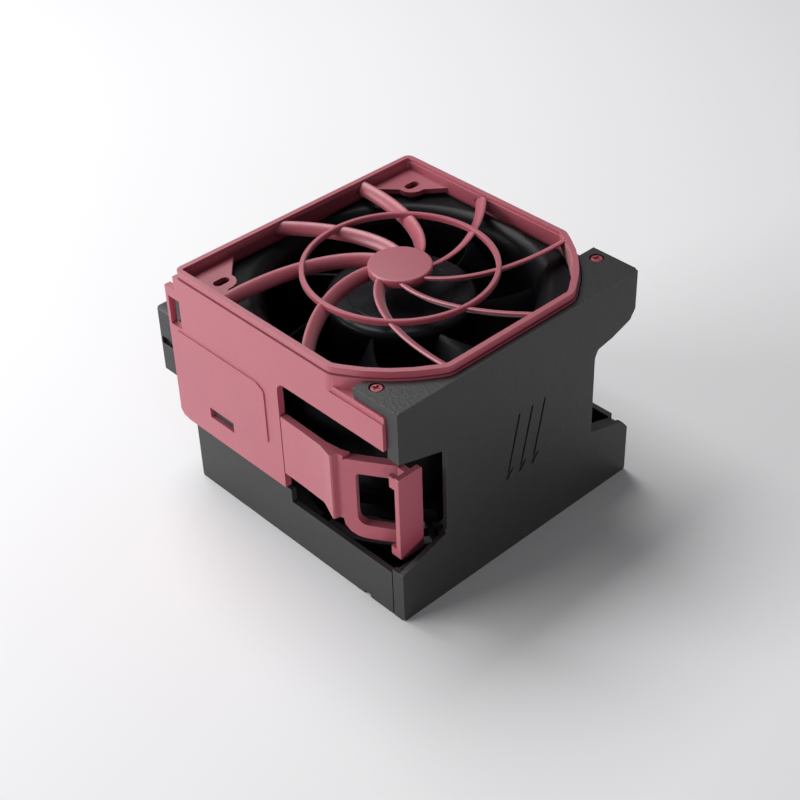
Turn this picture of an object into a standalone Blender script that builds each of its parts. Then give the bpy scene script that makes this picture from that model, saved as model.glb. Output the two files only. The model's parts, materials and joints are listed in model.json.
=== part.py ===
"""Hot-plug server fan module, standing on its exhaust face with the intake guard up.

Metres, +Z up and along the fan axis. The latch face looks along -Y, the side cover along +X
and the blind-mate connector along -X. The origin is the middle of the bottom of the box round it.
"""
import math

import bmesh
import bpy
from mathutils import Matrix, Vector

MM = 0.001

# Whole module
COVER_DEPTH = 70.4 * MM
COVER_HEIGHT = 55.0 * MM
RIM_RISE = 2.0 * MM
CATCH_RISE = 2.1 * MM
AXIS_SETBACK = 0.5 * MM
COVER_ROOM = 6.7 * MM
CONNECTOR_ROOM = 15.7 * MM

# Fits
GAP = 0.3 * MM
RUNNING_GAP = 0.15 * MM
TIP_GAP = 0.6 * MM

# Walls
BEZEL_WALL = 1.6 * MM
REBATE_WALL = 0.9 * MM
SKIRT_WALL = 0.7 * MM
COVER_SHEET = 1.2 * MM
BASE_WALL = 1.4 * MM
BASE_FLOOR = 2.6 * MM

# Bezel frame
BEZEL_PROUD = 0.8 * MM
BEZEL_ROOM = 4.8 * MM
BEZEL_SHORT = 0.5 * MM
BEZEL_HEIGHT = 38.995 * MM
SHOULDER_DROP = 1.8 * MM
CORNER_CUT_X = 17.4 * MM
CORNER_CUT_Y = 17.0 * MM
CORNER_BULGE = 3.2 * MM
CORNER_ARC = 38.0 * MM
CORNER_BLEND = 4.0 * MM
EDGE_RADIUS = 2.0 * MM
EAR_WIDTH = 3.5 * MM
EAR_DROP = 3.6 * MM
RAIL_LENGTH = 17.7 * MM
RAIL_HEIGHT = 6.5 * MM
RAIL_DROP = 4.0 * MM
SHELF_THICKNESS = 2.3 * MM
LABEL_WIDTH = 29.4 * MM
LABEL_HEIGHT = 15.1 * MM
LABEL_LIFT = 9.9 * MM
LABEL_RISE = 0.3 * MM
SNAP_WIDTH = 8.3 * MM
SNAP_HEIGHT = 2.7 * MM
SNAP_RISE = 5.5 * MM
SNAP_INSET = 8.1 * MM
SNAP_THICKNESS = 1.1 * MM
SNAP_CATCH = 1.0 * MM
REAR_OPENING = 19.4 * MM
POCKET_WIDTH = 3.8 * MM
POCKET_HEIGHT = 7.4 * MM
POCKET_DROP = 6.0 * MM

# Finger guard
RIM_SETBACK = 0.35 * MM
RIM_WIDTH = 1.25 * MM
GUARD_RING_SHARE = 0.724
GUARD_RING_WIDTH = 1.2 * MM
GUARD_RING_DEPTH = 1.5 * MM
GUARD_HUB_RADIUS = 7.0 * MM
GUARD_HUB_DEPTH = 1.9 * MM
RIB_COUNT = 8
RIB_DROP = 0.55 * MM
RIB_THICKNESS = 1.1 * MM
RIB_SLANT = 3.6 * MM
RIB_CAMBER = 0.3 * MM
RIB_LEAN = math.radians(52)
RIB_SWEEP = math.radians(35.6)
RIB_PHASE = math.radians(84.2)
LUG_RADIUS = 3.3 * MM
LUG_LEG = 15.5 * MM
LUG_THICKNESS = 1.2 * MM
LUG_HOLE_RADIUS = 1.1 * MM
LUG_HOLE_LENGTH = 4.0 * MM
LUG_INSET_X = 8.2 * MM
LUG_INSET_Y = 6.8 * MM

# Release latch
LATCH_DROP = 19.415 * MM
LATCH_HEIGHT = 17.05 * MM
ARM_LIFT = 1.7 * MM
ARM_LIFT_RUN = 3.4 * MM
LATCH_SHORT = 0.2 * MM
LATCH_THICKNESS = 1.6 * MM
GRIP_DROP = 20.1025 * MM
GRIP_HEIGHT = 20.9 * MM
GRIP_BAR = 3.1 * MM
GRIP_UPPER_BAR = 3.5 * MM
GRIP_LOWER_BAR = 3.6 * MM
GRIP_THICKNESS = 2.0 * MM
GRIP_SLOPE = math.radians(32.4)
GRIP_LENGTH = 12.2 * MM
TAB_RECESS = 3.7 * MM
TAB_THICKNESS = 1.2 * MM
TAB_DEPTH = 6.6 * MM
TAB_SETBACK = 3.0 * MM
TAB_OVERHANG = 1.0 * MM
TAB_TOP_DROP = 0.3 * MM
EAR_REACH = 1.9 * MM
EAR_DEPTH = 1.4 * MM
WEB_HEIGHT = 2.8 * MM
CATCH_PLACE = 18.6 * MM
CATCH_RAMP = 3.9 * MM
GRIP_PLACE = 17.1 * MM

# Side cover
PILLAR_WIDTH = 3.1 * MM
PLATE_THICKNESS = 2.2 * MM
PLATE_REACH = 12.5 * MM
WINDOW_DROP = 12.4025 * MM
WINDOW_HEIGHT = 29.5955 * MM
WINDOW_DEPTH = 12.9 * MM
NOTCH_DEPTH = 12.7 * MM
NOTCH_DROP = 16.995 * MM
NOTCH_HEIGHT = 20.1025 * MM
NOTCH_UPPER_SLOPE = 7.0 * MM
NOTCH_LOWER_SLOPE = 5.5 * MM
ARROW_WIDTH = 0.7 * MM
ARROW_DEPTH = 0.5 * MM
ARROW_LENGTH = 16.0 * MM
ARROW_PITCH = 3.9 * MM
ARROW_DROP = 34.705 * MM
ARROW_SETBACK = 4.0 * MM
ARROW_TILT = math.radians(12.7)
ARROW_COUNT = 3

# Base frame
BASE_NARROW = 0.3 * MM
BASE_SHORT = 1.5 * MM
BASE_ROOM = 0.803 * MM
BASE_STEP = 3.4045 * MM
LIP_ROOM = 4.5 * MM
FOOT_NOTCH_PLACE = 12.3 * MM
FOOT_NOTCH_WIDTH = 1.9 * MM
POST_RADIUS = 3.8 * MM
GRILLE_SEAT = 2.0 * MM
GRILLE_RINGS = 3
GRILLE_BAR = 1.4 * MM
GRILLE_DEPTH = 1.4 * MM
GRILLE_HUB_RADIUS = 6.0 * MM
GRILLE_SPOKES = 6

# Fan
FOOT_MARGIN = 10.4 * MM
FOOT_CLIP_X = 14.3 * MM
FOOT_CLIP_Y = 10.8 * MM
FAN_DEPTH = 38.0 * MM
FAN_DROP = 4.5 * MM
FLANGE_TOP = 3.0 * MM
FLANGE_FOOT = 3.5 * MM
SCREW_MARGIN = 10.0 * MM
BORE_MARGIN = 1.0 * MM
BARREL_WALL = 1.2 * MM
FLARE = 4.0 * MM
FLARE_DEPTH = 4.5 * MM
VANE_COUNT = 9
VANE_THICKNESS = 1.3 * MM
VANE_HEIGHT = 6.2 * MM
VANE_TURN = math.radians(16)
MOTOR_CUP_HEIGHT = 7.0 * MM
MOTOR_FLOOR = 2.0 * MM

# Impeller
HUB_RADIUS = 16.5 * MM
HUB_WALL = HUB_RADIUS * 0.0909
HUB_DROP = 2.5 * MM
HUB_EDGE = 1.6 * MM
BLADE_COUNT = 7
BLADE_DROP = 4.0 * MM
BLADE_HEIGHT = 24.5 * MM
BLADE_THICKNESS = 1.3 * MM
BLADE_WRAP_ROOT = math.radians(38)
BLADE_WRAP_TIP = math.radians(50)
BLADE_SWEEP = math.radians(9)
BLADE_CAMBER = math.radians(5)
BLADE_PHASE = math.radians(70)

# Motor
SHAFT_RADIUS = 1.5 * MM
BEARING_RADIUS = HUB_RADIUS * 0.2424
BEARING_HEIGHT = 4.0 * MM
TUBE_WALL = HUB_RADIUS * 0.0636
TUBE_DROP = 7.5 * MM
TUBE_SHOULDER = 11.0 * MM
YOKE_WALL = HUB_RADIUS * 0.0606
YOKE_SKIRT = 22.8 * MM
MAGNET_WALL = HUB_RADIUS * 0.0727
MAGNET_HEIGHT = 16.0 * MM
AIR_GAP = 0.5 * MM
CORE_HEIGHT = 10.0 * MM
CORE_HUB_WALL = HUB_RADIUS * 0.0909
POLE_COUNT = 4
POLE_NECK = HUB_RADIUS * 0.1818
POLE_SHOE = HUB_RADIUS * 0.0667
POLE_SPAN = math.radians(68)
COIL_BUILD = HUB_RADIUS * 0.0848
INSULATOR_THICKNESS = 1.2 * MM
BOARD_THICKNESS = 1.4 * MM
SPRING_WIRE = 0.25 * MM
SPRING_TURNS = 4
CLIP_THICKNESS = 0.5 * MM

# Connector
CONNECTOR_DEPTH = 8.9 * MM
CONNECTOR_HEIGHT = 17.8 * MM
CONNECTOR_DROP = 13.398 * MM
NECK_INSET = 1.8 * MM
TAIL_FLANGE = 1.5 * MM
CONTACT_ROWS = 2
CONTACT_COLUMNS = 3
CONTACT_PITCH = 4.6 * MM
CONTACT_WIDTH = 1.5 * MM
CONTACT_THICKNESS = 0.7 * MM
CONTACT_TAIL = 2.4 * MM

# Fasteners
RIVET_HEAD = 1.35 * MM
RIVET_SHANK = 0.8 * MM
RIVET_LENGTH = 5.6 * MM
RIVET_TURN = math.radians(20)
RIVET_INSET_X = 9.2 * MM
RIVET_INSET_FRONT = 3.3 * MM
RIVET_INSET_REAR = 2.7 * MM
SCREW_SHANK = 1.6 * MM
SCREW_HEAD = 2.9 * MM
SCREW_HEAD_HEIGHT = 1.6 * MM
SCREW_SINK = 0.6 * MM
DRIVE_REACH = 1.7 * MM
DRIVE_WIDTH = 0.7 * MM

# Sizes and planes that follow from those above
FOOT_SIZE = COVER_DEPTH - FOOT_MARGIN
BORE_RADIUS = FOOT_SIZE / 2 - BORE_MARGIN
SCREW_PITCH = FOOT_SIZE - SCREW_MARGIN
GRILLE_SEAT_RADIUS = BORE_RADIUS + GRILLE_SEAT
GUARD_RING_RADIUS = BORE_RADIUS * GUARD_RING_SHARE
AXIS_TO_COVER = BORE_RADIUS + COVER_ROOM
AXIS_TO_CONNECTOR = BORE_RADIUS + CONNECTOR_ROOM
AXIS_TO_FRONT = COVER_DEPTH / 2 - AXIS_SETBACK
BEZEL_WIDTH = 2 * (BORE_RADIUS + BEZEL_ROOM)
BEZEL_DEPTH = COVER_DEPTH - BEZEL_SHORT
BASE_WIDTH = BEZEL_WIDTH - BASE_NARROW
BASE_DEPTH = COVER_DEPTH - BASE_SHORT
LATCH_LENGTH = AXIS_TO_COVER - LATCH_SHORT
RIM_HEIGHT = COVER_HEIGHT + RIM_RISE
BEZEL_FOOT = COVER_HEIGHT - BEZEL_HEIGHT
LATCH_TOP = COVER_HEIGHT - LATCH_DROP
GRIP_TOP = COVER_HEIGHT - GRIP_DROP
WINDOW_TOP = COVER_HEIGHT - WINDOW_DROP
WINDOW_FOOT = WINDOW_TOP - WINDOW_HEIGHT
NOTCH_TOP = COVER_HEIGHT - NOTCH_DROP
NOTCH_FOOT = NOTCH_TOP - NOTCH_HEIGHT
ARROW_FOOT = COVER_HEIGHT - ARROW_DROP
BASE_RISE = BEZEL_FOOT - BASE_ROOM
BASE_RELIEF = BASE_RISE - BASE_STEP
CONNECTOR_TOP = COVER_HEIGHT - CONNECTOR_DROP
COVER_X = (AXIS_TO_COVER + AXIS_TO_CONNECTOR) / 2
CONNECTOR_X = -COVER_X
AXIS_X = COVER_X - AXIS_TO_COVER
REAR_Y = (COVER_DEPTH + CATCH_RISE) / 2
FRONT_Y = REAR_Y - COVER_DEPTH
AXIS_Y = FRONT_Y + AXIS_TO_FRONT
INNER_X = COVER_X - COVER_SHEET - GAP
BEZEL_LEFT = INNER_X - BEZEL_WIDTH
BEZEL_FRONT = FRONT_Y - BEZEL_PROUD
BEZEL_REAR = BEZEL_FRONT + BEZEL_DEPTH
SHOULDER_Z = RIM_HEIGHT - SHOULDER_DROP
FAN_TOP = RIM_HEIGHT - FAN_DROP
FAN_FOOT = FAN_TOP - FAN_DEPTH
HUB_TOP = FAN_TOP - HUB_DROP
BLADE_TOP = FAN_TOP - BLADE_DROP
TUBE_TOP = HUB_TOP - TUBE_DROP
RAIL_TOP = COVER_HEIGHT - RAIL_DROP
RAIL_FOOT = RAIL_TOP - RAIL_HEIGHT
RAIL_LEFT = COVER_X - PILLAR_WIDTH - GAP - RAIL_LENGTH
SHELF_TOP = COVER_HEIGHT - PLATE_THICKNESS - GAP
ROOT_X = COVER_X - LATCH_LENGTH
TUBE_RADIUS = BEARING_RADIUS + RUNNING_GAP + TUBE_WALL


def clear_scene():
    for item in list(bpy.data.objects):
        bpy.data.objects.remove(item, do_unlink=True)


def new_collection(name):
    collection = bpy.data.collections.new(name)
    bpy.context.scene.collection.children.link(collection)
    return collection


clear_scene()
PARTS = new_collection("server_fan_module")
CUTTERS = new_collection("cutters")


def plastic(name, colour, roughness, metallic=0.0):
    material = bpy.data.materials.new(name)
    material.use_nodes = True
    shader = material.node_tree.nodes["Principled BSDF"]
    shader.inputs["Base Color"].default_value = (*colour, 1.0)
    shader.inputs["Roughness"].default_value = roughness
    shader.inputs["Metallic"].default_value = metallic
    return material


RED = plastic("red_plastic", (0.42, 0.10, 0.15), 0.42)
BLACK = plastic("black_plastic", (0.035, 0.035, 0.038), 0.55)
COVER_BLACK = plastic("textured_black", (0.05, 0.05, 0.053), 0.65)
BLADE_BLACK = plastic("blade_black", (0.03, 0.03, 0.034), 0.35)
STEEL = plastic("steel", (0.55, 0.55, 0.56), 0.3, 1.0)
BRASS = plastic("brass", (0.75, 0.58, 0.28), 0.3, 1.0)
COPPER = plastic("copper_wire", (0.70, 0.32, 0.16), 0.35, 1.0)
FERRITE = plastic("ferrite", (0.12, 0.12, 0.125), 0.6)
BOARD_GREEN = plastic("board_green", (0.03, 0.20, 0.09), 0.45)
INSULATOR_WHITE = plastic("insulator", (0.80, 0.78, 0.72), 0.5)

# World directions for an outline drawn flat, on the front (x, z) or on the side (y, z)
FLAT = Matrix(((1, 0, 0), (0, 1, 0), (0, 0, 1)))
FRONT = Matrix(((1, 0, 0), (0, 0, -1), (0, 1, 0)))
SIDE = Matrix(((0, 0, 1), (1, 0, 0), (0, 1, 0)))


def rounded(corners, steps=4):
    """Closed outline from (x, y, radius) corners, each arc made of a few straight steps."""
    outline = []
    for index, (x, y, radius) in enumerate(corners):
        corner = Vector((x, y))
        if radius <= 0:
            outline.append((x, y))
            continue
        before = Vector(corners[index - 1][:2]) - corner
        after = Vector(corners[(index + 1) % len(corners)][:2]) - corner
        half = before.angle(after) / 2
        centre = corner + (before.normalized() + after.normalized()).normalized() * radius / math.sin(half)
        start = corner + before.normalized() * radius / math.tan(half) - centre
        turn = (math.pi - 2 * half) * math.copysign(1, before.cross(after)) * -1
        for step in range(steps + 1):
            outline.append(tuple(centre + Matrix.Rotation(turn * step / steps, 2) @ start))
    return outline


def circle(x, y, radius, steps=32):
    turns = [2 * math.pi * step / steps for step in range(steps)]
    return [(x + radius * math.cos(turn), y + radius * math.sin(turn)) for turn in turns]


def box_outline(left, right, low, high, radius=0.0, steps=3):
    corners = [(left, low, radius), (right, low, radius), (right, high, radius), (left, high, radius)]
    return rounded(corners, steps)


def inset(outline, distance):
    """The same convex outline, counter-clockwise, moved inwards by a distance."""
    lines = []
    for index, point in enumerate(outline):
        start, end = Vector(point), Vector(outline[(index + 1) % len(outline)])
        along = (end - start).normalized()
        lines.append((start + Vector((-along.y, along.x)) * distance, along))
    moved = []
    for index, (start, along) in enumerate(lines):
        last_start, last_along = lines[index - 1]
        reach = (start - last_start).cross(along) / last_along.cross(along)
        moved.append(tuple(last_start + last_along * reach))
    return moved


def finish(part, name, material):
    part.name = name
    part.data.name = name
    part.data.materials.clear()
    part.data.materials.append(material)
    return part


def shade(part, degrees=32):
    part.data.shade_smooth()
    part.data.set_sharp_from_angle(angle=math.radians(degrees))


def extruded(name, outlines, low, high, turn=FLAT, material=BLACK):
    """Solid between two levels from one outline, with any further outlines as holes."""
    curve = bpy.data.curves.new(name, "CURVE")
    curve.dimensions = "2D"
    curve.fill_mode = "BOTH"
    curve.extrude = (high - low) / 2
    for outline in outlines:
        spline = curve.splines.new("POLY")
        spline.points.add(len(outline) - 1)
        for point, (x, y) in zip(spline.points, outline):
            point.co = (x, y, 0, 1)
        spline.use_cyclic_u = True
    drawn = bpy.data.objects.new(name, curve)
    PARTS.objects.link(drawn)
    bpy.context.view_layer.update()
    mesh = bpy.data.meshes.new_from_object(drawn.evaluated_get(bpy.context.evaluated_depsgraph_get()))
    bpy.data.objects.remove(drawn)
    bpy.data.curves.remove(curve)
    frame = bmesh.new()
    frame.from_mesh(mesh)
    bmesh.ops.remove_doubles(frame, verts=frame.verts, dist=0.001 * MM)
    along = turn @ Vector((0, 0, 1))
    along = Vector([abs(value) for value in along])
    place = Matrix.Translation(along * (low + high) / 2) @ turn.to_4x4()
    bmesh.ops.transform(frame, matrix=place, verts=frame.verts)
    frame.to_mesh(mesh)
    frame.free()
    part = bpy.data.objects.new(name, mesh)
    PARTS.objects.link(part)
    return finish(part, name, material)


def turned(name, profile, segments=48, closed=False, centre=(AXIS_X, AXIS_Y), material=BLACK):
    """Solid of revolution about a vertical axis; the profile runs down its outer side."""
    mesh = bpy.data.meshes.new(name)
    edges = [(index, index + 1) for index in range(len(profile) - 1)]
    if closed:
        edges.append((len(profile) - 1, 0))
    mesh.from_pydata([(radius, 0, height) for radius, height in profile], edges, [])
    part = bpy.data.objects.new(name, mesh)
    PARTS.objects.link(part)
    part.location = (centre[0], centre[1], 0)
    screw = part.modifiers.new("turn", "SCREW")
    screw.axis = "Z"
    screw.steps = segments
    screw.render_steps = segments
    screw.use_merge_vertices = True
    screw.merge_threshold = 0.001 * MM
    screw.use_smooth_shade = True
    return finish(part, name, material)


def ring(name, inner, outer, low, high, segments=48, centre=(AXIS_X, AXIS_Y), material=BLACK):
    profile = [(inner, high), (outer, high), (outer, low), (inner, low)]
    return turned(name, profile, segments, True, centre, material)


def disc(name, radius, low, high, segments=48, centre=(AXIS_X, AXIS_Y), material=BLACK):
    profile = [(0, high), (radius, high), (radius, low), (0, low)]
    return turned(name, profile, segments, False, centre, material)


def block(name, low, high, material=BLACK):
    """Box between two opposite corners."""
    frame = bmesh.new()
    bmesh.ops.create_cube(frame, size=1.0)
    size = [b - a for a, b in zip(low, high)]
    middle = [(a + b) / 2 for a, b in zip(low, high)]
    bmesh.ops.scale(frame, vec=size, verts=frame.verts)
    bmesh.ops.translate(frame, vec=middle, verts=frame.verts)
    mesh = bpy.data.meshes.new(name)
    frame.to_mesh(mesh)
    frame.free()
    part = bpy.data.objects.new(name, mesh)
    PARTS.objects.link(part)
    return finish(part, name, material)


def sheets(name, count, columns, rows, place, thickness):
    """Like curved sheets of even thickness; place(index, u, v) gives a point of each."""
    frame = bmesh.new()
    for index in range(count):
        made = bmesh.ops.create_grid(frame, x_segments=columns, y_segments=rows, size=0.5)
        for vert in made["verts"]:
            vert.co = place(index, vert.co.x + 0.5, vert.co.y + 0.5)
    mesh = bpy.data.meshes.new(name)
    frame.to_mesh(mesh)
    frame.free()
    part = bpy.data.objects.new(name, mesh)
    PARTS.objects.link(part)
    solid = part.modifiers.new("thickness", "SOLIDIFY")
    solid.thickness = thickness
    solid.offset = 0
    return part


def combine(part, tool, operation):
    """Boolean that keeps the tool as a guide in the cutters' collection."""
    for holder in list(tool.users_collection):
        holder.objects.unlink(tool)
    CUTTERS.objects.link(tool)
    tool.hide_render = True
    tool.display_type = "WIRE"
    modifier = part.modifiers.new(tool.name, "BOOLEAN")
    modifier.operation = operation
    modifier.solver = "EXACT"
    modifier.object = tool
    return part


def join(part, *tools):
    for tool in tools:
        combine(part, tool, "UNION")
    return part


def cut(part, *tools):
    for tool in tools:
        combine(part, tool, "DIFFERENCE")
    return part


def axis_empty(name, x, y, z):
    """Empty on a joint's axis that carries what turns with it."""
    empty = bpy.data.objects.new(name, None)
    PARTS.objects.link(empty)
    empty.location = (x, y, z)
    return empty


def carry(empty, *parts):
    bpy.context.view_layer.update()
    for part in parts:
        part.parent = empty
        part.matrix_parent_inverse = empty.matrix_world.inverted()


def bezel_outline(distance=0.0):
    """Plan of the bezel: square corners at the connector side, blended ones at the cover side."""
    right, left = INNER_X, BEZEL_LEFT
    chord = math.hypot(CORNER_CUT_X, CORNER_CUT_Y)
    arc_x = right - CORNER_CUT_X / 2 + CORNER_BULGE * CORNER_CUT_Y / chord
    arc_y = CORNER_CUT_Y / 2 - CORNER_BULGE * CORNER_CUT_X / chord
    corners = [
        (left, BEZEL_FRONT, EDGE_RADIUS),
        (right - CORNER_CUT_X, BEZEL_FRONT, CORNER_BLEND),
        (arc_x, BEZEL_FRONT + arc_y, CORNER_ARC),
        (right, BEZEL_FRONT + CORNER_CUT_Y, CORNER_BLEND),
        (right, BEZEL_REAR - CORNER_CUT_Y, CORNER_BLEND),
        (arc_x, BEZEL_REAR - arc_y, CORNER_ARC),
        (right - CORNER_CUT_X, BEZEL_REAR, CORNER_BLEND),
        (left, BEZEL_REAR, EDGE_RADIUS),
    ]
    moved = inset([corner[:2] for corner in corners], distance)
    return rounded([(x, y, max(corner[2] - distance, 0.4 * MM)) for (x, y), corner in zip(moved, corners)])


def front_wall_outline():
    """Front wall with the ear at its left, the lowered rail at its right and room for the latch."""
    ear = BEZEL_LEFT - EAR_WIDTH
    rail_right = COVER_X - PILLAR_WIDTH - GAP
    return rounded([
        (ear, BEZEL_FOOT + 1.6 * MM, 0.8 * MM),
        (ear + 1.0 * MM, BEZEL_FOOT + 0.4 * MM, 0.6 * MM),
        (ear + 3.2 * MM, BEZEL_FOOT, 0),
        (ROOT_X - GAP, BEZEL_FOOT, 0),
        (ROOT_X - GAP, RAIL_FOOT, 2.2 * MM),
        (rail_right, RAIL_FOOT, 0),
        (rail_right, RAIL_TOP, 0),
        (RAIL_LEFT, RAIL_TOP, 0),
        (RAIL_LEFT, SHOULDER_Z, 0),
        (BEZEL_LEFT, SHOULDER_Z, 0),
        (BEZEL_LEFT, SHOULDER_Z - EAR_DROP, 0),
        (ear, SHOULDER_Z - EAR_DROP, 0),
    ])


def snap_window(label, wall_y):
    left = BEZEL_LEFT + SNAP_INSET
    foot = BEZEL_FOOT + SNAP_RISE
    return block(label, (left, wall_y - BEZEL_WALL, foot),
                 (left + SNAP_WIDTH, wall_y + BEZEL_WALL, foot + SNAP_HEIGHT))


def make_bezel_frame():
    frame = extruded("bezel_frame", [bezel_outline()], BEZEL_FOOT, SHOULDER_Z, material=RED)
    cut(frame, extruded("bezel_hollow", [bezel_outline(BEZEL_WALL)], 0, RIM_HEIGHT))
    shelf_foot = SHELF_TOP - SHELF_THICKNESS
    cut(frame, block("latch_side_opening", (ROOT_X - GAP, BEZEL_FRONT - GAP, 0),
                     (COVER_X, AXIS_Y, shelf_foot)))
    cut(frame, block("cover_side_opening", (COVER_X - REAR_OPENING, AXIS_Y - GAP, 0),
                     (COVER_X, REAR_Y, shelf_foot)))
    shelf_rear = REAR_Y - COVER_SHEET - GAP
    shelf_plan = box_outline(RAIL_LEFT, INNER_X, BEZEL_FRONT + 0.4 * MM, shelf_rear)
    shelves = extruded("corner_shelves", [shelf_plan], shelf_foot, SHELF_TOP)
    cut(shelves, extruded("shelf_hollow", [bezel_outline(BEZEL_WALL - 0.2 * MM)], 0, RIM_HEIGHT))
    join(frame, shelves)
    join(frame, extruded("front_wall", [front_wall_outline()], BEZEL_FRONT, BEZEL_FRONT + BEZEL_WALL, FRONT))
    label = BEZEL_LEFT - 0.6 * MM
    foot = BEZEL_FOOT + LABEL_LIFT
    panel = rounded([(label, foot, 0.4 * MM), (label + LABEL_WIDTH, foot, 0.4 * MM),
                     (label + LABEL_WIDTH, foot + LABEL_HEIGHT - 1.4 * MM, 1.0 * MM),
                     (label + LABEL_WIDTH - 2.3 * MM, foot + LABEL_HEIGHT, 1.0 * MM),
                     (label, foot + LABEL_HEIGHT, 0.4 * MM)], 2)
    join(frame, extruded("label_pad", [panel], BEZEL_FRONT - LABEL_RISE, BEZEL_FRONT + BEZEL_WALL / 2, FRONT))
    cut(frame, extruded("guard_seat", [bezel_outline(REBATE_WALL)], FAN_TOP + GAP, RIM_HEIGHT))
    pillar_room = COVER_X - PILLAR_WIDTH - GAP
    cut(frame, block("pillar_room", (pillar_room, BEZEL_FRONT - GAP, 0),
                     (COVER_X, FRONT_Y + COVER_SHEET + GAP, RIM_HEIGHT)))
    pocket_left = BEZEL_LEFT - EAR_WIDTH + 0.9 * MM
    pocket_top = SHOULDER_Z - POCKET_DROP
    cut(frame, block("connector_pocket", (pocket_left, BEZEL_FRONT - GAP, pocket_top - POCKET_HEIGHT),
                     (pocket_left + POCKET_WIDTH, FRONT_Y + 3.5 * MM, pocket_top)))
    cut(frame, snap_window("front_snap_window", BEZEL_FRONT + BEZEL_WALL / 2))
    cut(frame, snap_window("rear_snap_window", BEZEL_REAR - BEZEL_WALL / 2))
    neck = connector_neck(GAP)
    cut(frame, block("connector_opening", (BEZEL_LEFT - GAP, neck[0], neck[2]),
                     (BEZEL_LEFT + 2 * BEZEL_WALL, neck[1], neck[3])))
    for label, place in rivet_places().items():
        cut(frame, disc(label + "_hole", RIVET_SHANK + RUNNING_GAP, 0, COVER_HEIGHT, 16, place))
    shade(frame)
    return frame


def rib_point(index, u, v):
    """Log spiral from the hub to past the rim; each rib leans, its foot leading, and bows upwards."""
    radius = GUARD_HUB_RADIUS * 0.82 + u * (BEZEL_DEPTH / 2 + CORNER_CUT_Y * 0.55 - GUARD_HUB_RADIUS)
    angle = RIB_PHASE - 2 * math.pi * index / RIB_COUNT + RIB_SWEEP * math.log(radius / GUARD_RING_RADIUS)
    outward = Vector((math.cos(angle), math.sin(angle), 0))
    around = Vector((-outward.y, outward.x, 0))
    down = around * math.sin(RIB_LEAN) - Vector((0, 0, math.cos(RIB_LEAN)))
    bow = around * math.cos(RIB_LEAN) + Vector((0, 0, math.sin(RIB_LEAN)))
    top = Vector((AXIS_X, AXIS_Y, RIM_HEIGHT - RIB_DROP)) + outward * radius
    return top + down * (RIB_SLANT * v) + bow * (RIB_CAMBER * math.sin(math.pi * v))


def lug_outline(corner_y, hole_y):
    """Corner gusset, its free edge at 45 degrees, with a round eye about its hole."""
    hole_x = BEZEL_LEFT + LUG_INSET_X
    side = math.copysign(1, hole_y - corner_y)
    into_wall = REBATE_WALL + GAP + SKIRT_WALL * 0.4
    wall_x = BEZEL_LEFT + into_wall
    wall_y = corner_y + side * into_wall
    tip = [(hole_x + LUG_RADIUS * math.cos(turn), hole_y + side * LUG_RADIUS * math.sin(turn))
           for turn in (math.radians(step * 22 - 10) for step in range(6))]
    outline = [(wall_x, wall_y), (BEZEL_LEFT + LUG_LEG, wall_y), *tip, (wall_x, corner_y + side * LUG_LEG)]
    return outline if side > 0 else outline[::-1]


def make_finger_guard():
    skirt_foot = FAN_TOP + 2 * GAP
    lip_foot = SHOULDER_Z + GAP
    inner = RIM_SETBACK + RIM_WIDTH
    guard = extruded("finger_guard", [bezel_outline(RIM_SETBACK), bezel_outline(inner)],
                     lip_foot, RIM_HEIGHT, material=RED)
    skirt_face = REBATE_WALL + GAP
    skirt = extruded("guard_skirt", [bezel_outline(skirt_face), bezel_outline(skirt_face + SKIRT_WALL)],
                     skirt_foot, (lip_foot + RIM_HEIGHT) / 2)
    join(guard, skirt)
    lug_foot = skirt_foot + 0.1 * MM
    for label, corner_y, hole_y in (("front_lug", BEZEL_FRONT, BEZEL_FRONT + LUG_INSET_Y),
                                    ("rear_lug", BEZEL_REAR, BEZEL_REAR - LUG_INSET_Y)):
        hole_x = BEZEL_LEFT + LUG_INSET_X
        half = LUG_HOLE_LENGTH / 2
        eye = box_outline(hole_x - LUG_HOLE_RADIUS, hole_x + LUG_HOLE_RADIUS, hole_y - half, hole_y + half,
                          LUG_HOLE_RADIUS * 0.98)
        join(guard, extruded(label, [lug_outline(corner_y, hole_y), eye], lug_foot, lug_foot + LUG_THICKNESS))
    top = RIM_HEIGHT
    ribs = sheets("guard_ribs", RIB_COUNT, 9, 2, rib_point, RIB_THICKNESS)
    limit = bezel_outline((skirt_face + inner) / 2)
    combine(ribs, extruded("rib_limit", [limit], skirt_foot + 0.2 * MM, RIM_HEIGHT), "INTERSECT")
    join(guard, ribs)
    half = GUARD_RING_WIDTH / 2
    join(guard, ring("guard_ring", GUARD_RING_RADIUS - half, GUARD_RING_RADIUS + half,
                     top - GUARD_RING_DEPTH, top, 48))
    hub_foot = top - GUARD_HUB_DEPTH
    join(guard, turned("guard_hub", [(0, top), (GUARD_HUB_RADIUS - 0.3 * MM, top),
                                     (GUARD_HUB_RADIUS, top - 0.3 * MM), (GUARD_HUB_RADIUS, hub_foot),
                                     (0, hub_foot)], 32))
    shade(guard)
    return guard


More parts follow.
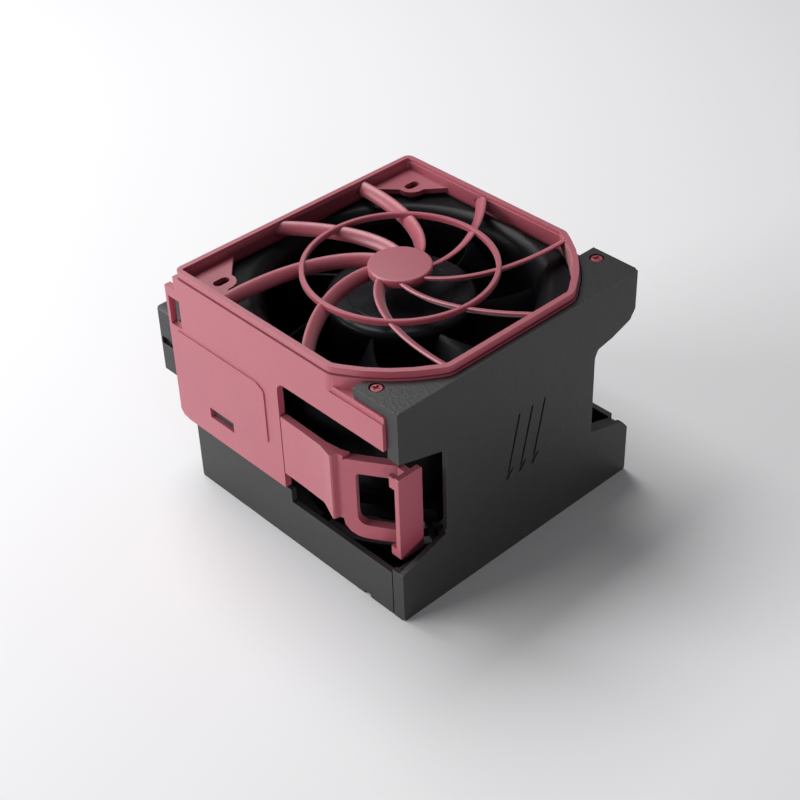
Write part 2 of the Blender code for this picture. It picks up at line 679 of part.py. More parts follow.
def latch_plan():
    """Plan of the arm: nearly flat, then the catch's ramp, its steep back and the grip's near edge."""
    face = BEZEL_FRONT
    inner = BEZEL_FRONT + LATCH_THICKNESS
    crest = FRONT_Y - CATCH_RISE
    catch = COVER_X - CATCH_PLACE
    ramp = catch - CATCH_RAMP
    grip_x = COVER_X - GRIP_PLACE
    outer = [(ROOT_X, face), ((ROOT_X + ramp) / 2, face - 0.12 * MM), (ramp, face - 0.4 * MM),
             (catch - 0.4 * MM, crest + 0.05 * MM), (catch, crest), (catch + 0.3 * MM, crest + 0.3 * MM),
             (catch + 0.6 * MM, face + 0.2 * MM), (grip_x + 0.4 * MM, face + 0.5 * MM)]
    back = [(grip_x + 0.5 * MM, inner + 0.9 * MM), (catch + 0.2 * MM, inner + 0.2 * MM),
            (ramp, inner - 0.3 * MM), (ROOT_X, inner)]
    return outer + back


def make_release_latch():
    """Spring arm, inclined D-shaped grip, two webs and a finger tab, moulded in one."""
    grip_foot = GRIP_TOP - GRIP_HEIGHT
    window_foot = grip_foot + GRIP_LOWER_BAR
    window_top = GRIP_TOP - GRIP_UPPER_BAR
    latch_foot = LATCH_TOP - LATCH_HEIGHT
    latch = extruded("release_latch", [latch_plan()], latch_foot, LATCH_TOP, material=RED)
    lift_end = COVER_X - CATCH_PLACE
    lift_start = lift_end - ARM_LIFT_RUN
    under_arm = [(ROOT_X - GAP, latch_foot - GAP), (lift_end, latch_foot - GAP), (lift_end, latch_foot),
                 (lift_start, latch_foot + ARM_LIFT), (ROOT_X - GAP, latch_foot + ARM_LIFT)]
    cut(latch, extruded("under_arm", [under_arm], FRONT_Y - 2 * CATCH_RISE,
                        FRONT_Y + 2 * LATCH_THICKNESS, FRONT))
    outer = rounded([(0, grip_foot, 5.0 * MM), (GRIP_LENGTH, grip_foot, 0),
                     (GRIP_LENGTH, GRIP_TOP, 0), (0, GRIP_TOP, 1.5 * MM)])
    hole = rounded([(GRIP_BAR, window_foot, 2.4 * MM), (GRIP_LENGTH + GAP, window_foot, 0),
                    (GRIP_LENGTH + GAP, window_top, 0), (GRIP_BAR, window_top, 0.8 * MM)])
    grip = extruded("latch_grip", [outer], 0, GRIP_THICKNESS, FRONT)
    window = extruded("latch_window", [hole], -GRIP_THICKNESS / 2, GRIP_THICKNESS * 1.5, FRONT)
    hung = Matrix.Translation((COVER_X - GRIP_PLACE, FRONT_Y - 0.6 * MM, 0))
    place = hung @ Matrix.Rotation(GRIP_SLOPE, 4, "Z")
    grip.data.transform(place)
    window.data.transform(place)
    join(latch, grip)
    cut(latch, window)
    tab_x = COVER_X - TAB_RECESS
    tab_front = FRONT_Y + TAB_SETBACK
    tab_foot, tab_top = grip_foot - TAB_OVERHANG, GRIP_TOP - TAB_TOP_DROP
    tab = box_outline(tab_front, tab_front + TAB_DEPTH, tab_foot, tab_top, 0.5 * MM, 2)
    join(latch, extruded("latch_tab", [tab], tab_x - TAB_THICKNESS, tab_x, SIDE))
    for label, low, high in (("lower_ear", tab_foot + 0.2 * MM, tab_foot + 2.3 * MM),
                             ("upper_ear", tab_top - 3.2 * MM, tab_top - 0.3 * MM)):
        ear = box_outline(tab_x - TAB_THICKNESS - EAR_REACH, tab_x - TAB_THICKNESS / 2,
                          tab_front + 0.1 * MM, tab_front + EAR_DEPTH, 0.4 * MM, 2)
        join(latch, extruded(label, [ear], low, high))
    end = place @ Vector((GRIP_LENGTH, GRIP_THICKNESS / 2, 0))
    for label, low in (("lower_web", grip_foot + 0.4 * MM), ("upper_web", GRIP_TOP - 0.3 * MM - WEB_HEIGHT)):
        web = box_outline(end.x - 0.6 * MM, tab_x - TAB_THICKNESS / 2, end.y - 0.9 * MM, end.y + 0.7 * MM)
        join(latch, extruded(label, [web], low, low + WEB_HEIGHT))
    shade(latch)
    hinge = axis_empty("latch_axis", ROOT_X, FRONT_Y, LATCH_TOP - LATCH_HEIGHT / 2)
    carry(hinge, latch)
    return latch


def rivet_places():
    x = COVER_X - RIVET_INSET_X
    return {"front_rivet": (x, FRONT_Y + RIVET_INSET_FRONT), "rear_rivet": (x, REAR_Y - RIVET_INSET_REAR)}


def arrow_outline(foot_y, foot_z):
    """Engraved flow arrow that points at the exhaust, with a barb on one side."""
    half = ARROW_WIDTH / 2
    lean = math.tan(ARROW_TILT)
    top_z = foot_z + ARROW_LENGTH
    top_y = foot_y + ARROW_LENGTH * lean
    barb_z = foot_z + 2.6 * MM
    barb_y = foot_y + 2.0 * MM
    inner_z = foot_z + 1.6 * MM
    inner_y = foot_y + half + (inner_z - foot_z) * lean
    return [(foot_y - half, foot_z), (foot_y + half, foot_z), (barb_y, barb_z - half),
            (barb_y, barb_z + half), (inner_y, inner_z), (top_y + half, top_z), (top_y - half, top_z)]


def make_side_cover():
    """Bent black cover: side plate, corner plates on top and narrow returns front and rear."""
    rear = FRONT_Y + COVER_DEPTH
    notch = rear - NOTCH_DEPTH
    side = rounded([
        (FRONT_Y, 0, 0.5 * MM), (rear, 0, 0.5 * MM), (rear, NOTCH_FOOT - NOTCH_LOWER_SLOPE, 1.0 * MM),
        (rear - 1.9 * MM, NOTCH_FOOT - 3.1 * MM, 1.0 * MM), (notch, NOTCH_FOOT, 0),
        (notch, NOTCH_TOP, 0.8 * MM),
        (notch + 0.9 * MM, NOTCH_TOP + 2.0 * MM, 0.8 * MM), (notch + 5.4 * MM, NOTCH_TOP + 2.8 * MM, 0),
        (rear - 1.6 * MM, NOTCH_TOP + 4.7 * MM, 1.0 * MM), (rear, NOTCH_TOP + NOTCH_UPPER_SLOPE, 0),
        (rear, COVER_HEIGHT, 0.5 * MM), (FRONT_Y, COVER_HEIGHT, 0.5 * MM), (FRONT_Y, WINDOW_TOP, 0),
        (FRONT_Y + WINDOW_DEPTH, WINDOW_TOP - 3.6 * MM, 0.8 * MM),
        (FRONT_Y + WINDOW_DEPTH, WINDOW_FOOT + 4.0 * MM, 0.8 * MM),
        (FRONT_Y + WINDOW_DEPTH - 5.1 * MM, WINDOW_FOOT + 2.3 * MM, 0),
        (FRONT_Y + 1.7 * MM, WINDOW_FOOT + 0.5 * MM, 0), (FRONT_Y, WINDOW_FOOT, 0),
    ], 3)
    cover = extruded("side_cover", [side], COVER_X - COVER_SHEET, COVER_X, SIDE, COVER_BLACK)
    pillar = COVER_X - PILLAR_WIDTH
    front_back = FRONT_Y + COVER_SHEET
    overlap = COVER_SHEET / 2
    join(cover, block("upper_front_return", (pillar, FRONT_Y, WINDOW_TOP),
                      (COVER_X - overlap, front_back, COVER_HEIGHT)))
    join(cover, block("lower_front_return", (pillar, FRONT_Y, 0),
                      (COVER_X - overlap, front_back, WINDOW_FOOT)))
    upper_return = NOTCH_TOP + NOTCH_UPPER_SLOPE + 0.5 * MM
    lower_return = NOTCH_FOOT - NOTCH_LOWER_SLOPE - 1.0 * MM
    join(cover, block("upper_rear_return", (pillar, rear - COVER_SHEET, upper_return),
                      (COVER_X - overlap, rear, COVER_HEIGHT)))
    join(cover, block("lower_rear_return", (pillar, rear - COVER_SHEET, 0),
                      (COVER_X - overlap, rear, lower_return)))
    lip_end = rear - 2.6 * MM
    lip = [(notch + 0.4 * MM, NOTCH_FOOT - 1.4 * MM), (lip_end, NOTCH_FOOT - 4.2 * MM),
           (lip_end, NOTCH_FOOT - 3.1 * MM), (notch + 0.4 * MM, NOTCH_FOOT - 0.2 * MM)]
    join(cover, extruded("flange_lip", [lip], pillar, COVER_X - overlap, SIDE))
    plate_foot = COVER_HEIGHT - PLATE_THICKNESS
    plates = block("corner_plates", (COVER_X - PLATE_REACH, FRONT_Y, plate_foot),
                   (COVER_X - overlap, rear, COVER_HEIGHT))
    cut(plates, extruded("bezel_room", [bezel_outline(-GAP)], 0, RIM_HEIGHT))
    join(cover, plates)
    for label, place in rivet_places().items():
        cut(cover, turned(label + "_seat", [(0, RIM_HEIGHT), (RIVET_HEAD + GAP, RIM_HEIGHT),
                                            (RIVET_HEAD + GAP, COVER_HEIGHT - 0.9 * MM),
                                            (RIVET_SHANK + RUNNING_GAP, COVER_HEIGHT - 0.9 * MM),
                                            (RIVET_SHANK + RUNNING_GAP, 0), (0, 0)], 24, centre=place))
    for index in range(ARROW_COUNT):
        outline = arrow_outline(AXIS_Y - ARROW_SETBACK + index * ARROW_PITCH, ARROW_FOOT)
        cut(cover, extruded(f"arrow_{index + 1}", [outline], COVER_X - ARROW_DEPTH, COVER_X + GAP, SIDE))
    shade(cover)
    return cover


def screw_places():
    """Three corners of the fan; the fourth is cut back to leave the latch its travel."""
    half = SCREW_PITCH / 2
    return [(AXIS_X + sx * half, AXIS_Y + sy * half) for sx, sy in ((-1, -1), (1, 1), (-1, 1))]


def make_base_frame():
    """Open tray under the fan: walls, floor, grille seat, screw posts and snap tongues."""
    left = INNER_X - BASE_WIDTH
    rear = FRONT_Y + BASE_DEPTH
    base = extruded("base_frame", [box_outline(left, INNER_X, FRONT_Y, rear, 0.8 * MM, 2)], 0, BASE_RISE)
    hollow = box_outline(left + BASE_WALL, INNER_X - BASE_WALL, FRONT_Y + BASE_WALL, rear - BASE_WALL)
    cut(base, extruded("tray_hollow", [hollow], BASE_FLOOR, BASE_RISE + GAP))
    post_top = FAN_FOOT - GAP
    for index, place in enumerate(screw_places(), 1):
        join(base, disc(f"post_{index}", POST_RADIUS, BASE_FLOOR / 2, post_top, 18, place))
    cut(base, block("latch_relief", (ROOT_X + 0.5 * MM, FRONT_Y - GAP, BASE_RELIEF),
                    (COVER_X, FRONT_Y + BASE_WALL + GAP, BASE_RISE + GAP)))
    cut(base, block("return_room", (COVER_X - PILLAR_WIDTH - GAP, FRONT_Y - GAP, -GAP),
                    (COVER_X, FRONT_Y + COVER_SHEET + GAP, BASE_RISE + 2 * GAP)))
    cut(base, block("cover_window_room", (INNER_X - BASE_WALL - GAP, FRONT_Y, WINDOW_FOOT - 0.5 * MM),
                    (COVER_X, FRONT_Y + WINDOW_DEPTH + GAP, BASE_RISE + 3 * GAP)))
    lip_start = (COVER_X - PILLAR_WIDTH - GAP, REAR_Y - NOTCH_DEPTH, NOTCH_FOOT - LIP_ROOM)
    cut(base, block("cover_lip_room", lip_start, (COVER_X, REAR_Y, BASE_RISE + 4 * GAP)))
    notch_left = COVER_X - FOOT_NOTCH_PLACE
    cut(base, block("foot_notch", (notch_left, FRONT_Y - GAP, -GAP),
                    (notch_left + FOOT_NOTCH_WIDTH, FRONT_Y + BASE_WALL / 2, 0.8 * MM)))
    seat_top = GRILLE_DEPTH + GAP
    cut(base, turned("exhaust_opening", [
        (0, BASE_FLOOR + GAP), (BORE_RADIUS, BASE_FLOOR + GAP), (BORE_RADIUS, seat_top),
        (GRILLE_SEAT_RADIUS, seat_top), (GRILLE_SEAT_RADIUS, -GAP), (0, -GAP)], 40))
    for index, place in enumerate(screw_places(), 1):
        seat = SCREW_SINK + SCREW_HEAD_HEIGHT + GAP
        recess = turned(f"screw_seat_{index}", [
            (0, FAN_TOP), (SCREW_SHANK + GAP, FAN_TOP), (SCREW_SHANK + GAP, seat),
            (SCREW_HEAD + GAP, seat), (SCREW_HEAD + GAP, -GAP), (0, -GAP)], 16, centre=place)
        cut(base, recess)
    snap_left = BEZEL_LEFT + SNAP_INSET + GAP
    snap_right = snap_left + SNAP_WIDTH - 2 * GAP
    hook_foot = BEZEL_FOOT + SNAP_RISE + GAP
    hook_top = hook_foot + SNAP_HEIGHT - 2 * GAP
    root_foot = BASE_RISE - 5.0 * MM
    root_top = BASE_RISE - 1.0 * MM
    for label, face, root, out in (
            ("front_snap", BEZEL_FRONT + BEZEL_WALL + GAP, FRONT_Y + BASE_WALL / 2, -1),
            ("rear_snap", BEZEL_REAR - BEZEL_WALL - GAP, rear - BASE_WALL / 2, 1)):
        back = face - out * SNAP_THICKNESS
        tooth = face + out * SNAP_CATCH
        profile = [(root, root_foot), (back, root_foot), (back, hook_top + 0.8 * MM),
                   (face, hook_top + 0.8 * MM), (tooth, hook_top - 0.8 * MM), (tooth, hook_foot),
                   (face, hook_foot), (face, root_top), (root, root_top)]
        join(base, extruded(label, [profile], snap_left, snap_right, SIDE))
    shade(base)
    return base


def make_exhaust_guard():
    """Flat guard of rings and spokes seated in the underside of the base."""
    outer = GRILLE_SEAT_RADIUS - GAP
    guard = ring("exhaust_guard", BORE_RADIUS - 0.4 * MM, outer, 0, GRILLE_DEPTH, 40)
    join(guard, disc("grille_hub", GRILLE_HUB_RADIUS, 0, GRILLE_DEPTH, 24))
    pitch = (BORE_RADIUS - GRILLE_HUB_RADIUS) / (GRILLE_RINGS + 1)
    for index in range(1, GRILLE_RINGS + 1):
        middle = GRILLE_HUB_RADIUS + index * pitch
        join(guard, ring(f"grille_ring_{index}", middle - GRILLE_BAR / 2, middle + GRILLE_BAR / 2,
                         0, GRILLE_DEPTH, 28))
    for index in range(GRILLE_SPOKES):
        turn = Matrix.Rotation(2 * math.pi * (index + 0.5) / GRILLE_SPOKES, 4, "Z")
        spoke = block(f"grille_spoke_{index + 1}", (GRILLE_HUB_RADIUS - 1.0 * MM, -GRILLE_BAR / 2, 0.1 * MM),
                      (BORE_RADIUS + 0.6 * MM, GRILLE_BAR / 2, GRILLE_DEPTH - 0.1 * MM))
        spoke.data.transform(Matrix.Translation((AXIS_X, AXIS_Y, 0)) @ turn)
        join(guard, spoke)
    shade(guard)
    return guard


def vane_point(index, u, v):
    """Outlet guide vane between the motor cup and the barrel, tilted against the swirl."""
    radius = HUB_RADIUS - HUB_WALL / 2 + u * (BORE_RADIUS + BARREL_WALL / 2 - HUB_RADIUS + HUB_WALL / 2)
    angle = 2 * math.pi * index / VANE_COUNT - VANE_TURN * v + math.radians(10) * u
    height = FAN_FOOT + 0.6 * MM + VANE_HEIGHT * v
    return Vector((AXIS_X + radius * math.cos(angle), AXIS_Y + radius * math.sin(angle), height))


def make_fan_housing():
    """Square foot flange, round barrel, flared inlet plate, guide vanes and motor cup."""
    half = FOOT_SIZE / 2
    housing = extruded("fan_housing", [bezel_outline(BEZEL_WALL + GAP)], FAN_TOP - FLANGE_TOP, FAN_TOP)
    left, right, front, rear = AXIS_X - half, AXIS_X + half, AXIS_Y - half, AXIS_Y + half
    foot = rounded([(left, front, 3.0 * MM), (right - FOOT_CLIP_X, front, 0), (right, front + FOOT_CLIP_Y, 0),
                    (right, rear, 3.0 * MM), (left, rear, 3.0 * MM)])
    join(housing, extruded("foot_flange", [foot], FAN_FOOT, FAN_FOOT + FLANGE_FOOT))
    barrel = BORE_RADIUS + BARREL_WALL
    join(housing, disc("barrel", barrel, FAN_FOOT + FLANGE_FOOT / 2, FAN_TOP - FLANGE_TOP / 2, 44))
    flare = [(BORE_RADIUS + FLARE, FAN_TOP)]
    for step in range(1, 5):
        turn = math.pi / 2 * step / 4
        flare.append((BORE_RADIUS + FLARE * (1 - math.sin(turn)),
                      FAN_TOP - FLARE_DEPTH * (1 - math.cos(turn))))
    bore = [(0, RIM_HEIGHT), (BORE_RADIUS + FLARE, RIM_HEIGHT), *flare, (BORE_RADIUS, 0), (0, 0)]
    cut(housing, turned("bore", bore, 44))
    cup_top = FAN_FOOT + MOTOR_CUP_HEIGHT
    floor = FAN_FOOT + MOTOR_FLOOR
    ledge = cup_top - BOARD_THICKNESS - 2 * GAP
    cup = turned("motor_cup", [
        (0, floor), (TUBE_RADIUS + RUNNING_GAP, floor), (TUBE_RADIUS + RUNNING_GAP, floor + 3.4 * MM),
        (TUBE_RADIUS + 1.5 * MM, floor + 3.4 * MM), (TUBE_RADIUS + 1.5 * MM, floor),
        (HUB_RADIUS - HUB_WALL - 1.2 * MM, floor), (HUB_RADIUS - HUB_WALL - 1.2 * MM, ledge),
        (HUB_RADIUS - HUB_WALL, ledge), (HUB_RADIUS - HUB_WALL, cup_top),
        (HUB_RADIUS, cup_top), (HUB_RADIUS, FAN_FOOT), (0, FAN_FOOT)], 32)
    join(housing, cup)
    join(housing, sheets("guide_vanes", VANE_COUNT, 2, 2, vane_point, VANE_THICKNESS))
    for index, place in enumerate(screw_places(), 1):
        hole_top = FAN_FOOT + FLANGE_FOOT + GAP
        cut(housing, disc(f"flange_hole_{index}", SCREW_SHANK + GAP, 0, hole_top, 20, place))
    shade(housing)
    return housing


def blade_point(index, u, v):
    """Twisted blade: more wrap towards the tip, the leading edge up and forward."""
    root = HUB_RADIUS - HUB_WALL / 2
    radius = root + u * (BORE_RADIUS - TIP_GAP - root)
    wrap = BLADE_WRAP_ROOT + u * (BLADE_WRAP_TIP - BLADE_WRAP_ROOT)
    angle = BLADE_PHASE + 2 * math.pi * index / BLADE_COUNT + BLADE_SWEEP * u
    angle += wrap * (0.5 - v) + BLADE_CAMBER * math.sin(math.pi * v)
    drop = BLADE_HEIGHT * (1 - 0.1 * u) * (v ** 1.15)
    height = BLADE_TOP - 0.6 * MM * u - drop
    return Vector((AXIS_X + radius * math.cos(angle), AXIS_Y + radius * math.sin(angle), height))


def make_impeller():
    foot = FAN_FOOT + MOTOR_CUP_HEIGHT + 2 * GAP
    inner = HUB_RADIUS - HUB_WALL
    under = HUB_TOP - HUB_WALL
    boss_foot = TUBE_TOP + 1.1 * MM
    boss = SHAFT_RADIUS + 2.1 * MM
    bore = SHAFT_RADIUS + RUNNING_GAP
    ceiling = under + 0.4 * MM
    slope = HUB_EDGE * 0.3
    profile = [(0, HUB_TOP), (HUB_RADIUS - HUB_EDGE, HUB_TOP), (HUB_RADIUS - slope, HUB_TOP - slope),
               (HUB_RADIUS, HUB_TOP - HUB_EDGE), (HUB_RADIUS, foot), (inner, foot), (inner, under),
               (boss, under), (boss, boss_foot), (bore, boss_foot), (bore, ceiling), (0, ceiling)]
    impeller = turned("impeller", profile, 40, material=BLADE_BLACK)
    join(impeller, sheets("blades", BLADE_COUNT, 5, 7, blade_point, BLADE_THICKNESS))
    shade(impeller)
    return impeller


def make_rotor():
    """Everything that turns: impeller, steel yoke, magnet, shaft and its retaining ring."""
    yoke_top = HUB_TOP - HUB_WALL - GAP
    yoke_outer = HUB_RADIUS - HUB_WALL - GAP
    yoke_inner = yoke_outer - YOKE_WALL
    hole = SHAFT_RADIUS + 2.1 * MM + GAP
    skirt_foot, plate_foot = yoke_top - YOKE_SKIRT, yoke_top - YOKE_WALL
    yoke = turned("rotor_yoke", [
        (hole, yoke_top), (yoke_outer, yoke_top), (yoke_outer, skirt_foot), (yoke_inner, skirt_foot),
        (yoke_inner, plate_foot), (hole, plate_foot)], 32, True, material=STEEL)
    magnet_foot = core_foot() + (CORE_HEIGHT - MAGNET_HEIGHT) / 2
    magnet_outer = yoke_inner - GAP
    magnet = ring("magnet_ring", magnet_outer - MAGNET_WALL, magnet_outer,
                  magnet_foot, magnet_foot + MAGNET_HEIGHT, 32, material=FERRITE)
    clip_top = lower_bearing_foot() - GAP
    clip_foot = clip_top - CLIP_THICKNESS
    groove = SHAFT_RADIUS - 0.35 * MM
    shaft_foot = clip_foot - 1.0 * MM
    shaft_top = HUB_TOP - HUB_WALL + 0.2 * MM
    shaft = turned("rotor_shaft", [
        (0, shaft_top), (SHAFT_RADIUS - 0.3 * MM, shaft_top), (SHAFT_RADIUS, shaft_top - 0.3 * MM),
        (SHAFT_RADIUS, clip_top + 0.1 * MM), (groove, clip_top + 0.1 * MM), (groove, clip_foot - 0.1 * MM),
        (SHAFT_RADIUS, clip_foot - 0.1 * MM), (SHAFT_RADIUS, shaft_foot), (0, shaft_foot)],
        24, material=STEEL)
    clip = ring("retaining_ring", groove + 0.1 * MM, SHAFT_RADIUS + 1.1 * MM, clip_foot, clip_top,
                24, material=STEEL)
    spin = axis_empty("fan_axis", AXIS_X, AXIS_Y, FAN_TOP)
    carry(spin, make_impeller(), yoke, magnet, shaft, clip)


def core_foot():
    return TUBE_TOP - 3.5 * MM - CORE_HEIGHT


def tube_foot():
    return FAN_FOOT + MOTOR_FLOOR + GAP


def lower_bearing_foot():
    return tube_foot() + 2.8 * MM


def shoulder_foot():
    return lower_bearing_foot() + BEARING_HEIGHT + GAP


def make_bearings():
    """Tube with an inner shoulder, a ball bearing at each end and the preload spring."""
    bore = BEARING_RADIUS + RUNNING_GAP
    shoulder = BEARING_RADIUS - 1.0 * MM
    low, high = shoulder_foot(), shoulder_foot() + TUBE_SHOULDER
    turned("bearing_tube", [
        (bore, TUBE_TOP), (TUBE_RADIUS, TUBE_TOP), (TUBE_RADIUS, tube_foot()), (bore, tube_foot()),
        (bore, low), (shoulder, low), (shoulder, high), (bore, high)], 24, True, material=BRASS)
    upper = TUBE_TOP - GAP - BEARING_HEIGHT
    for label, foot in (("upper_bearing", upper), ("lower_bearing", lower_bearing_foot())):
        top = foot + BEARING_HEIGHT
        inner = SHAFT_RADIUS + RUNNING_GAP
        groove = top - 0.25 * MM
        inner_race, outer_race = inner + 0.8 * MM, BEARING_RADIUS - 0.8 * MM
        turned(label, [
            (inner, top), (inner_race, top), (inner_race, groove), (outer_race, groove),
            (outer_race, top), (BEARING_RADIUS, top), (BEARING_RADIUS, foot), (inner, foot)],
            24, True, material=STEEL)
    coil_radius = (SHAFT_RADIUS + BEARING_RADIUS) / 2 + 0.3 * MM
    foot = high + SPRING_WIRE + GAP / 2
    rise = upper - SPRING_WIRE - GAP / 2 - foot
    points = []
    steps = SPRING_TURNS * 10
    for step in range(steps + 1):
        turn = 2 * math.pi * step / 10
        points.append((AXIS_X + coil_radius * math.cos(turn), AXIS_Y + coil_radius * math.sin(turn),
                       foot + rise * step / steps))
    wire("preload_spring", points, SPRING_WIRE, STEEL)


def wire(name, points, radius, material):
    curve = bpy.data.curves.new(name, "CURVE")
    curve.dimensions = "3D"
    curve.bevel_depth = radius
    curve.bevel_resolution = 1
    curve.use_fill_caps = True
    spline = curve.splines.new("POLY")
    spline.points.add(len(points) - 1)
    for point, place in zip(spline.points, points):
        point.co = (*place, 1)
    part = bpy.data.objects.new(name, curve)
    PARTS.objects.link(part)
    return finish(part, name, material)


def core_radius():
    return HUB_RADIUS - HUB_WALL - GAP - YOKE_WALL - GAP - MAGNET_WALL - AIR_GAP


def core_outline():
    """Plan of the laminations: a hub with T-shaped poles."""
    outer = core_radius()
    neck_end = outer - POLE_SHOE
    hub = TUBE_RADIUS + GAP + CORE_HUB_WALL
    half = POLE_NECK / 2
    points = []
    for pole in range(POLE_COUNT):
        middle = 2 * math.pi * pole / POLE_COUNT
        turn = Matrix.Rotation(middle, 2)
        shoe = [Vector((neck_end * math.cos(angle), neck_end * math.sin(angle)))
                for angle in (-POLE_SPAN / 2, -math.asin(half / neck_end))]
        face = [Vector((outer * math.cos(angle), outer * math.sin(angle)))
                for angle in (POLE_SPAN * (step / 6 - 0.5) for step in range(7))]
        side = [Vector((math.sqrt(hub ** 2 - half ** 2), -half)), shoe[1], shoe[0], *face]
        side += [Vector((shoe[0].x, -shoe[0].y)), Vector((shoe[1].x, -shoe[1].y)),
                 Vector((math.sqrt(hub ** 2 - half ** 2), half))]
        between = middle + math.pi / POLE_COUNT
        points += [tuple(turn @ point) for point in side]
        points.append((hub * math.cos(between), hub * math.sin(between)))
    return [(AXIS_X + x, AXIS_Y + y) for x, y in points]


def make_stator():
    """Lamination stack, end insulators and one coil round each pole neck."""
    foot = core_foot()
    top = foot + CORE_HEIGHT
    bore = TUBE_RADIUS + GAP
    extruded("stator_core", [core_outline(), circle(AXIS_X, AXIS_Y, bore)], foot, top, material=STEEL)
    hub = bore + CORE_HUB_WALL
    for label, low in (("upper_insulator", top + GAP), ("lower_insulator", foot - GAP - INSULATOR_THICKNESS)):
        ring(label, bore, hub, low, low + INSULATOR_THICKNESS, 24, material=INSULATOR_WHITE)
    near = hub + GAP
    reach = POLE_NECK / 2 + GAP
    shoe = (core_radius() - POLE_SHOE) * math.cos(POLE_SPAN / 5) - GAP
    far = math.sqrt(shoe ** 2 - (reach + COIL_BUILD) ** 2)
    for pole in range(POLE_COUNT):
        inside = box_outline(-reach, reach, foot - GAP, top + GAP, 0.2 * MM, 1)
        outside = box_outline(-reach - COIL_BUILD, reach + COIL_BUILD, foot - GAP - COIL_BUILD,
                              top + GAP + COIL_BUILD, COIL_BUILD * 0.8, 3)
        coil = extruded(f"coil_{pole + 1}", [outside, inside], near, far, SIDE, COPPER)
        turn = Matrix.Rotation(2 * math.pi * pole / POLE_COUNT, 4, "Z")
        coil.data.transform(turn)
        coil.location = (AXIS_X, AXIS_Y, 0)


def make_motor_board():
    top = FAN_FOOT + MOTOR_CUP_HEIGHT - GAP
    return ring("motor_board", TUBE_RADIUS + 1.5 * MM + GAP, HUB_RADIUS - HUB_WALL - GAP,
                top - BOARD_THICKNESS, top, 28, material=BOARD_GREEN)


def connector_neck(clearance=0.0):
    """Front, rear, low and high limits of the neck that passes through the bezel wall."""
    front = BEZEL_FRONT + BEZEL_WALL + GAP
    rear = front + CONNECTOR_DEPTH
    low = CONNECTOR_TOP - CONNECTOR_HEIGHT
    return (front + NECK_INSET - clearance, rear - NECK_INSET + clearance,
            low + NECK_INSET - clearance, CONNECTOR_TOP - NECK_INSET + clearance)


def contact_places():
    neck = connector_neck()
    middle_y = (neck[0] + neck[1]) / 2
    middle_z = (neck[2] + neck[3]) / 2
    return [(middle_y + (row - (CONTACT_ROWS - 1) / 2) * CONTACT_PITCH / 1.6,
             middle_z + (column - (CONTACT_COLUMNS - 1) / 2) * CONTACT_PITCH)
            for row in range(CONTACT_ROWS) for column in range(CONTACT_COLUMNS)]


def make_connector():
    """Blind-mate block outside the wall, a neck through it and a flange behind it."""
    front, rear, low, high = connector_neck()
    face = BEZEL_LEFT - GAP
    body = block("connector_housing", (CONNECTOR_X, front - NECK_INSET, low - NECK_INSET),
                 (face, rear + NECK_INSET, high + NECK_INSET))
    bevel = body.modifiers.new("lead_in", "BEVEL")
    bevel.width = 0.6 * MM
    bevel.segments = 1
    bevel.limit_method = "ANGLE"
    inside = BEZEL_LEFT + BEZEL_WALL + GAP
    join(body, block("neck", (face - 1.0 * MM, front, low), (inside + TAIL_FLANGE / 2, rear, high)))
    join(body, block("tail_flange", (inside, front - NECK_INSET / 2, low - NECK_INSET / 2),
                     (inside + TAIL_FLANGE, rear + NECK_INSET / 2, high + NECK_INSET / 2)))
    key_low = (low + high) / 2 - 1.0 * MM
    cut(body, block("key_slot", (CONNECTOR_X + 1.0 * MM, front - NECK_INSET - GAP, key_low),
                    (CONNECTOR_X + 5.0 * MM, front - NECK_INSET + 1.2 * MM, key_low + 2.0 * MM)))
    reach = inside + TAIL_FLANGE
    for index, (y, z) in enumerate(contact_places(), 1):
        half_y = CONTACT_THICKNESS / 2
        half_z = CONTACT_WIDTH / 2
        cut(body, block(f"cavity_{index}", (CONNECTOR_X - GAP, y - half_y - GAP, z - half_z - GAP),
                        (reach + GAP, y + half_y + GAP, z + half_z + GAP)))
        block(f"contact_{index}", (CONNECTOR_X + 1.2 * MM, y - half_y, z - half_z),
              (reach + CONTACT_TAIL, y + half_y, z + half_z), BRASS)
    return body


def make_rivets():
    """Push rivets with a cross recess that hold the cover's corner plates to the bezel."""
    top = COVER_HEIGHT - 0.1 * MM
    under = COVER_HEIGHT - 0.9 * MM + GAP / 3
    tip = under - RIVET_LENGTH
    for name, place in rivet_places().items():
        rivet = turned(name, [
            (0, top), (RIVET_HEAD - 0.2 * MM, top), (RIVET_HEAD, top - 0.2 * MM), (RIVET_HEAD, under),
            (RIVET_SHANK, under), (RIVET_SHANK, tip + 0.8 * MM), (RIVET_SHANK * 0.5, tip), (0, tip)],
            20, centre=place, material=RED)
        long, short = RIVET_HEAD * 0.62, RIVET_HEAD * 0.2
        arm = [(-short, -long), (short, -long), (short, -short)]
        cross = [Matrix.Rotation(math.pi / 2 * turn, 2) @ Vector(point) for turn in range(4) for point in arm]
        recess = [tuple(Vector(place) + Matrix.Rotation(RIVET_TURN, 2) @ point) for point in cross]
        cut(rivet, extruded(name + "_recess", [recess], top - 0.4 * MM, top + GAP))


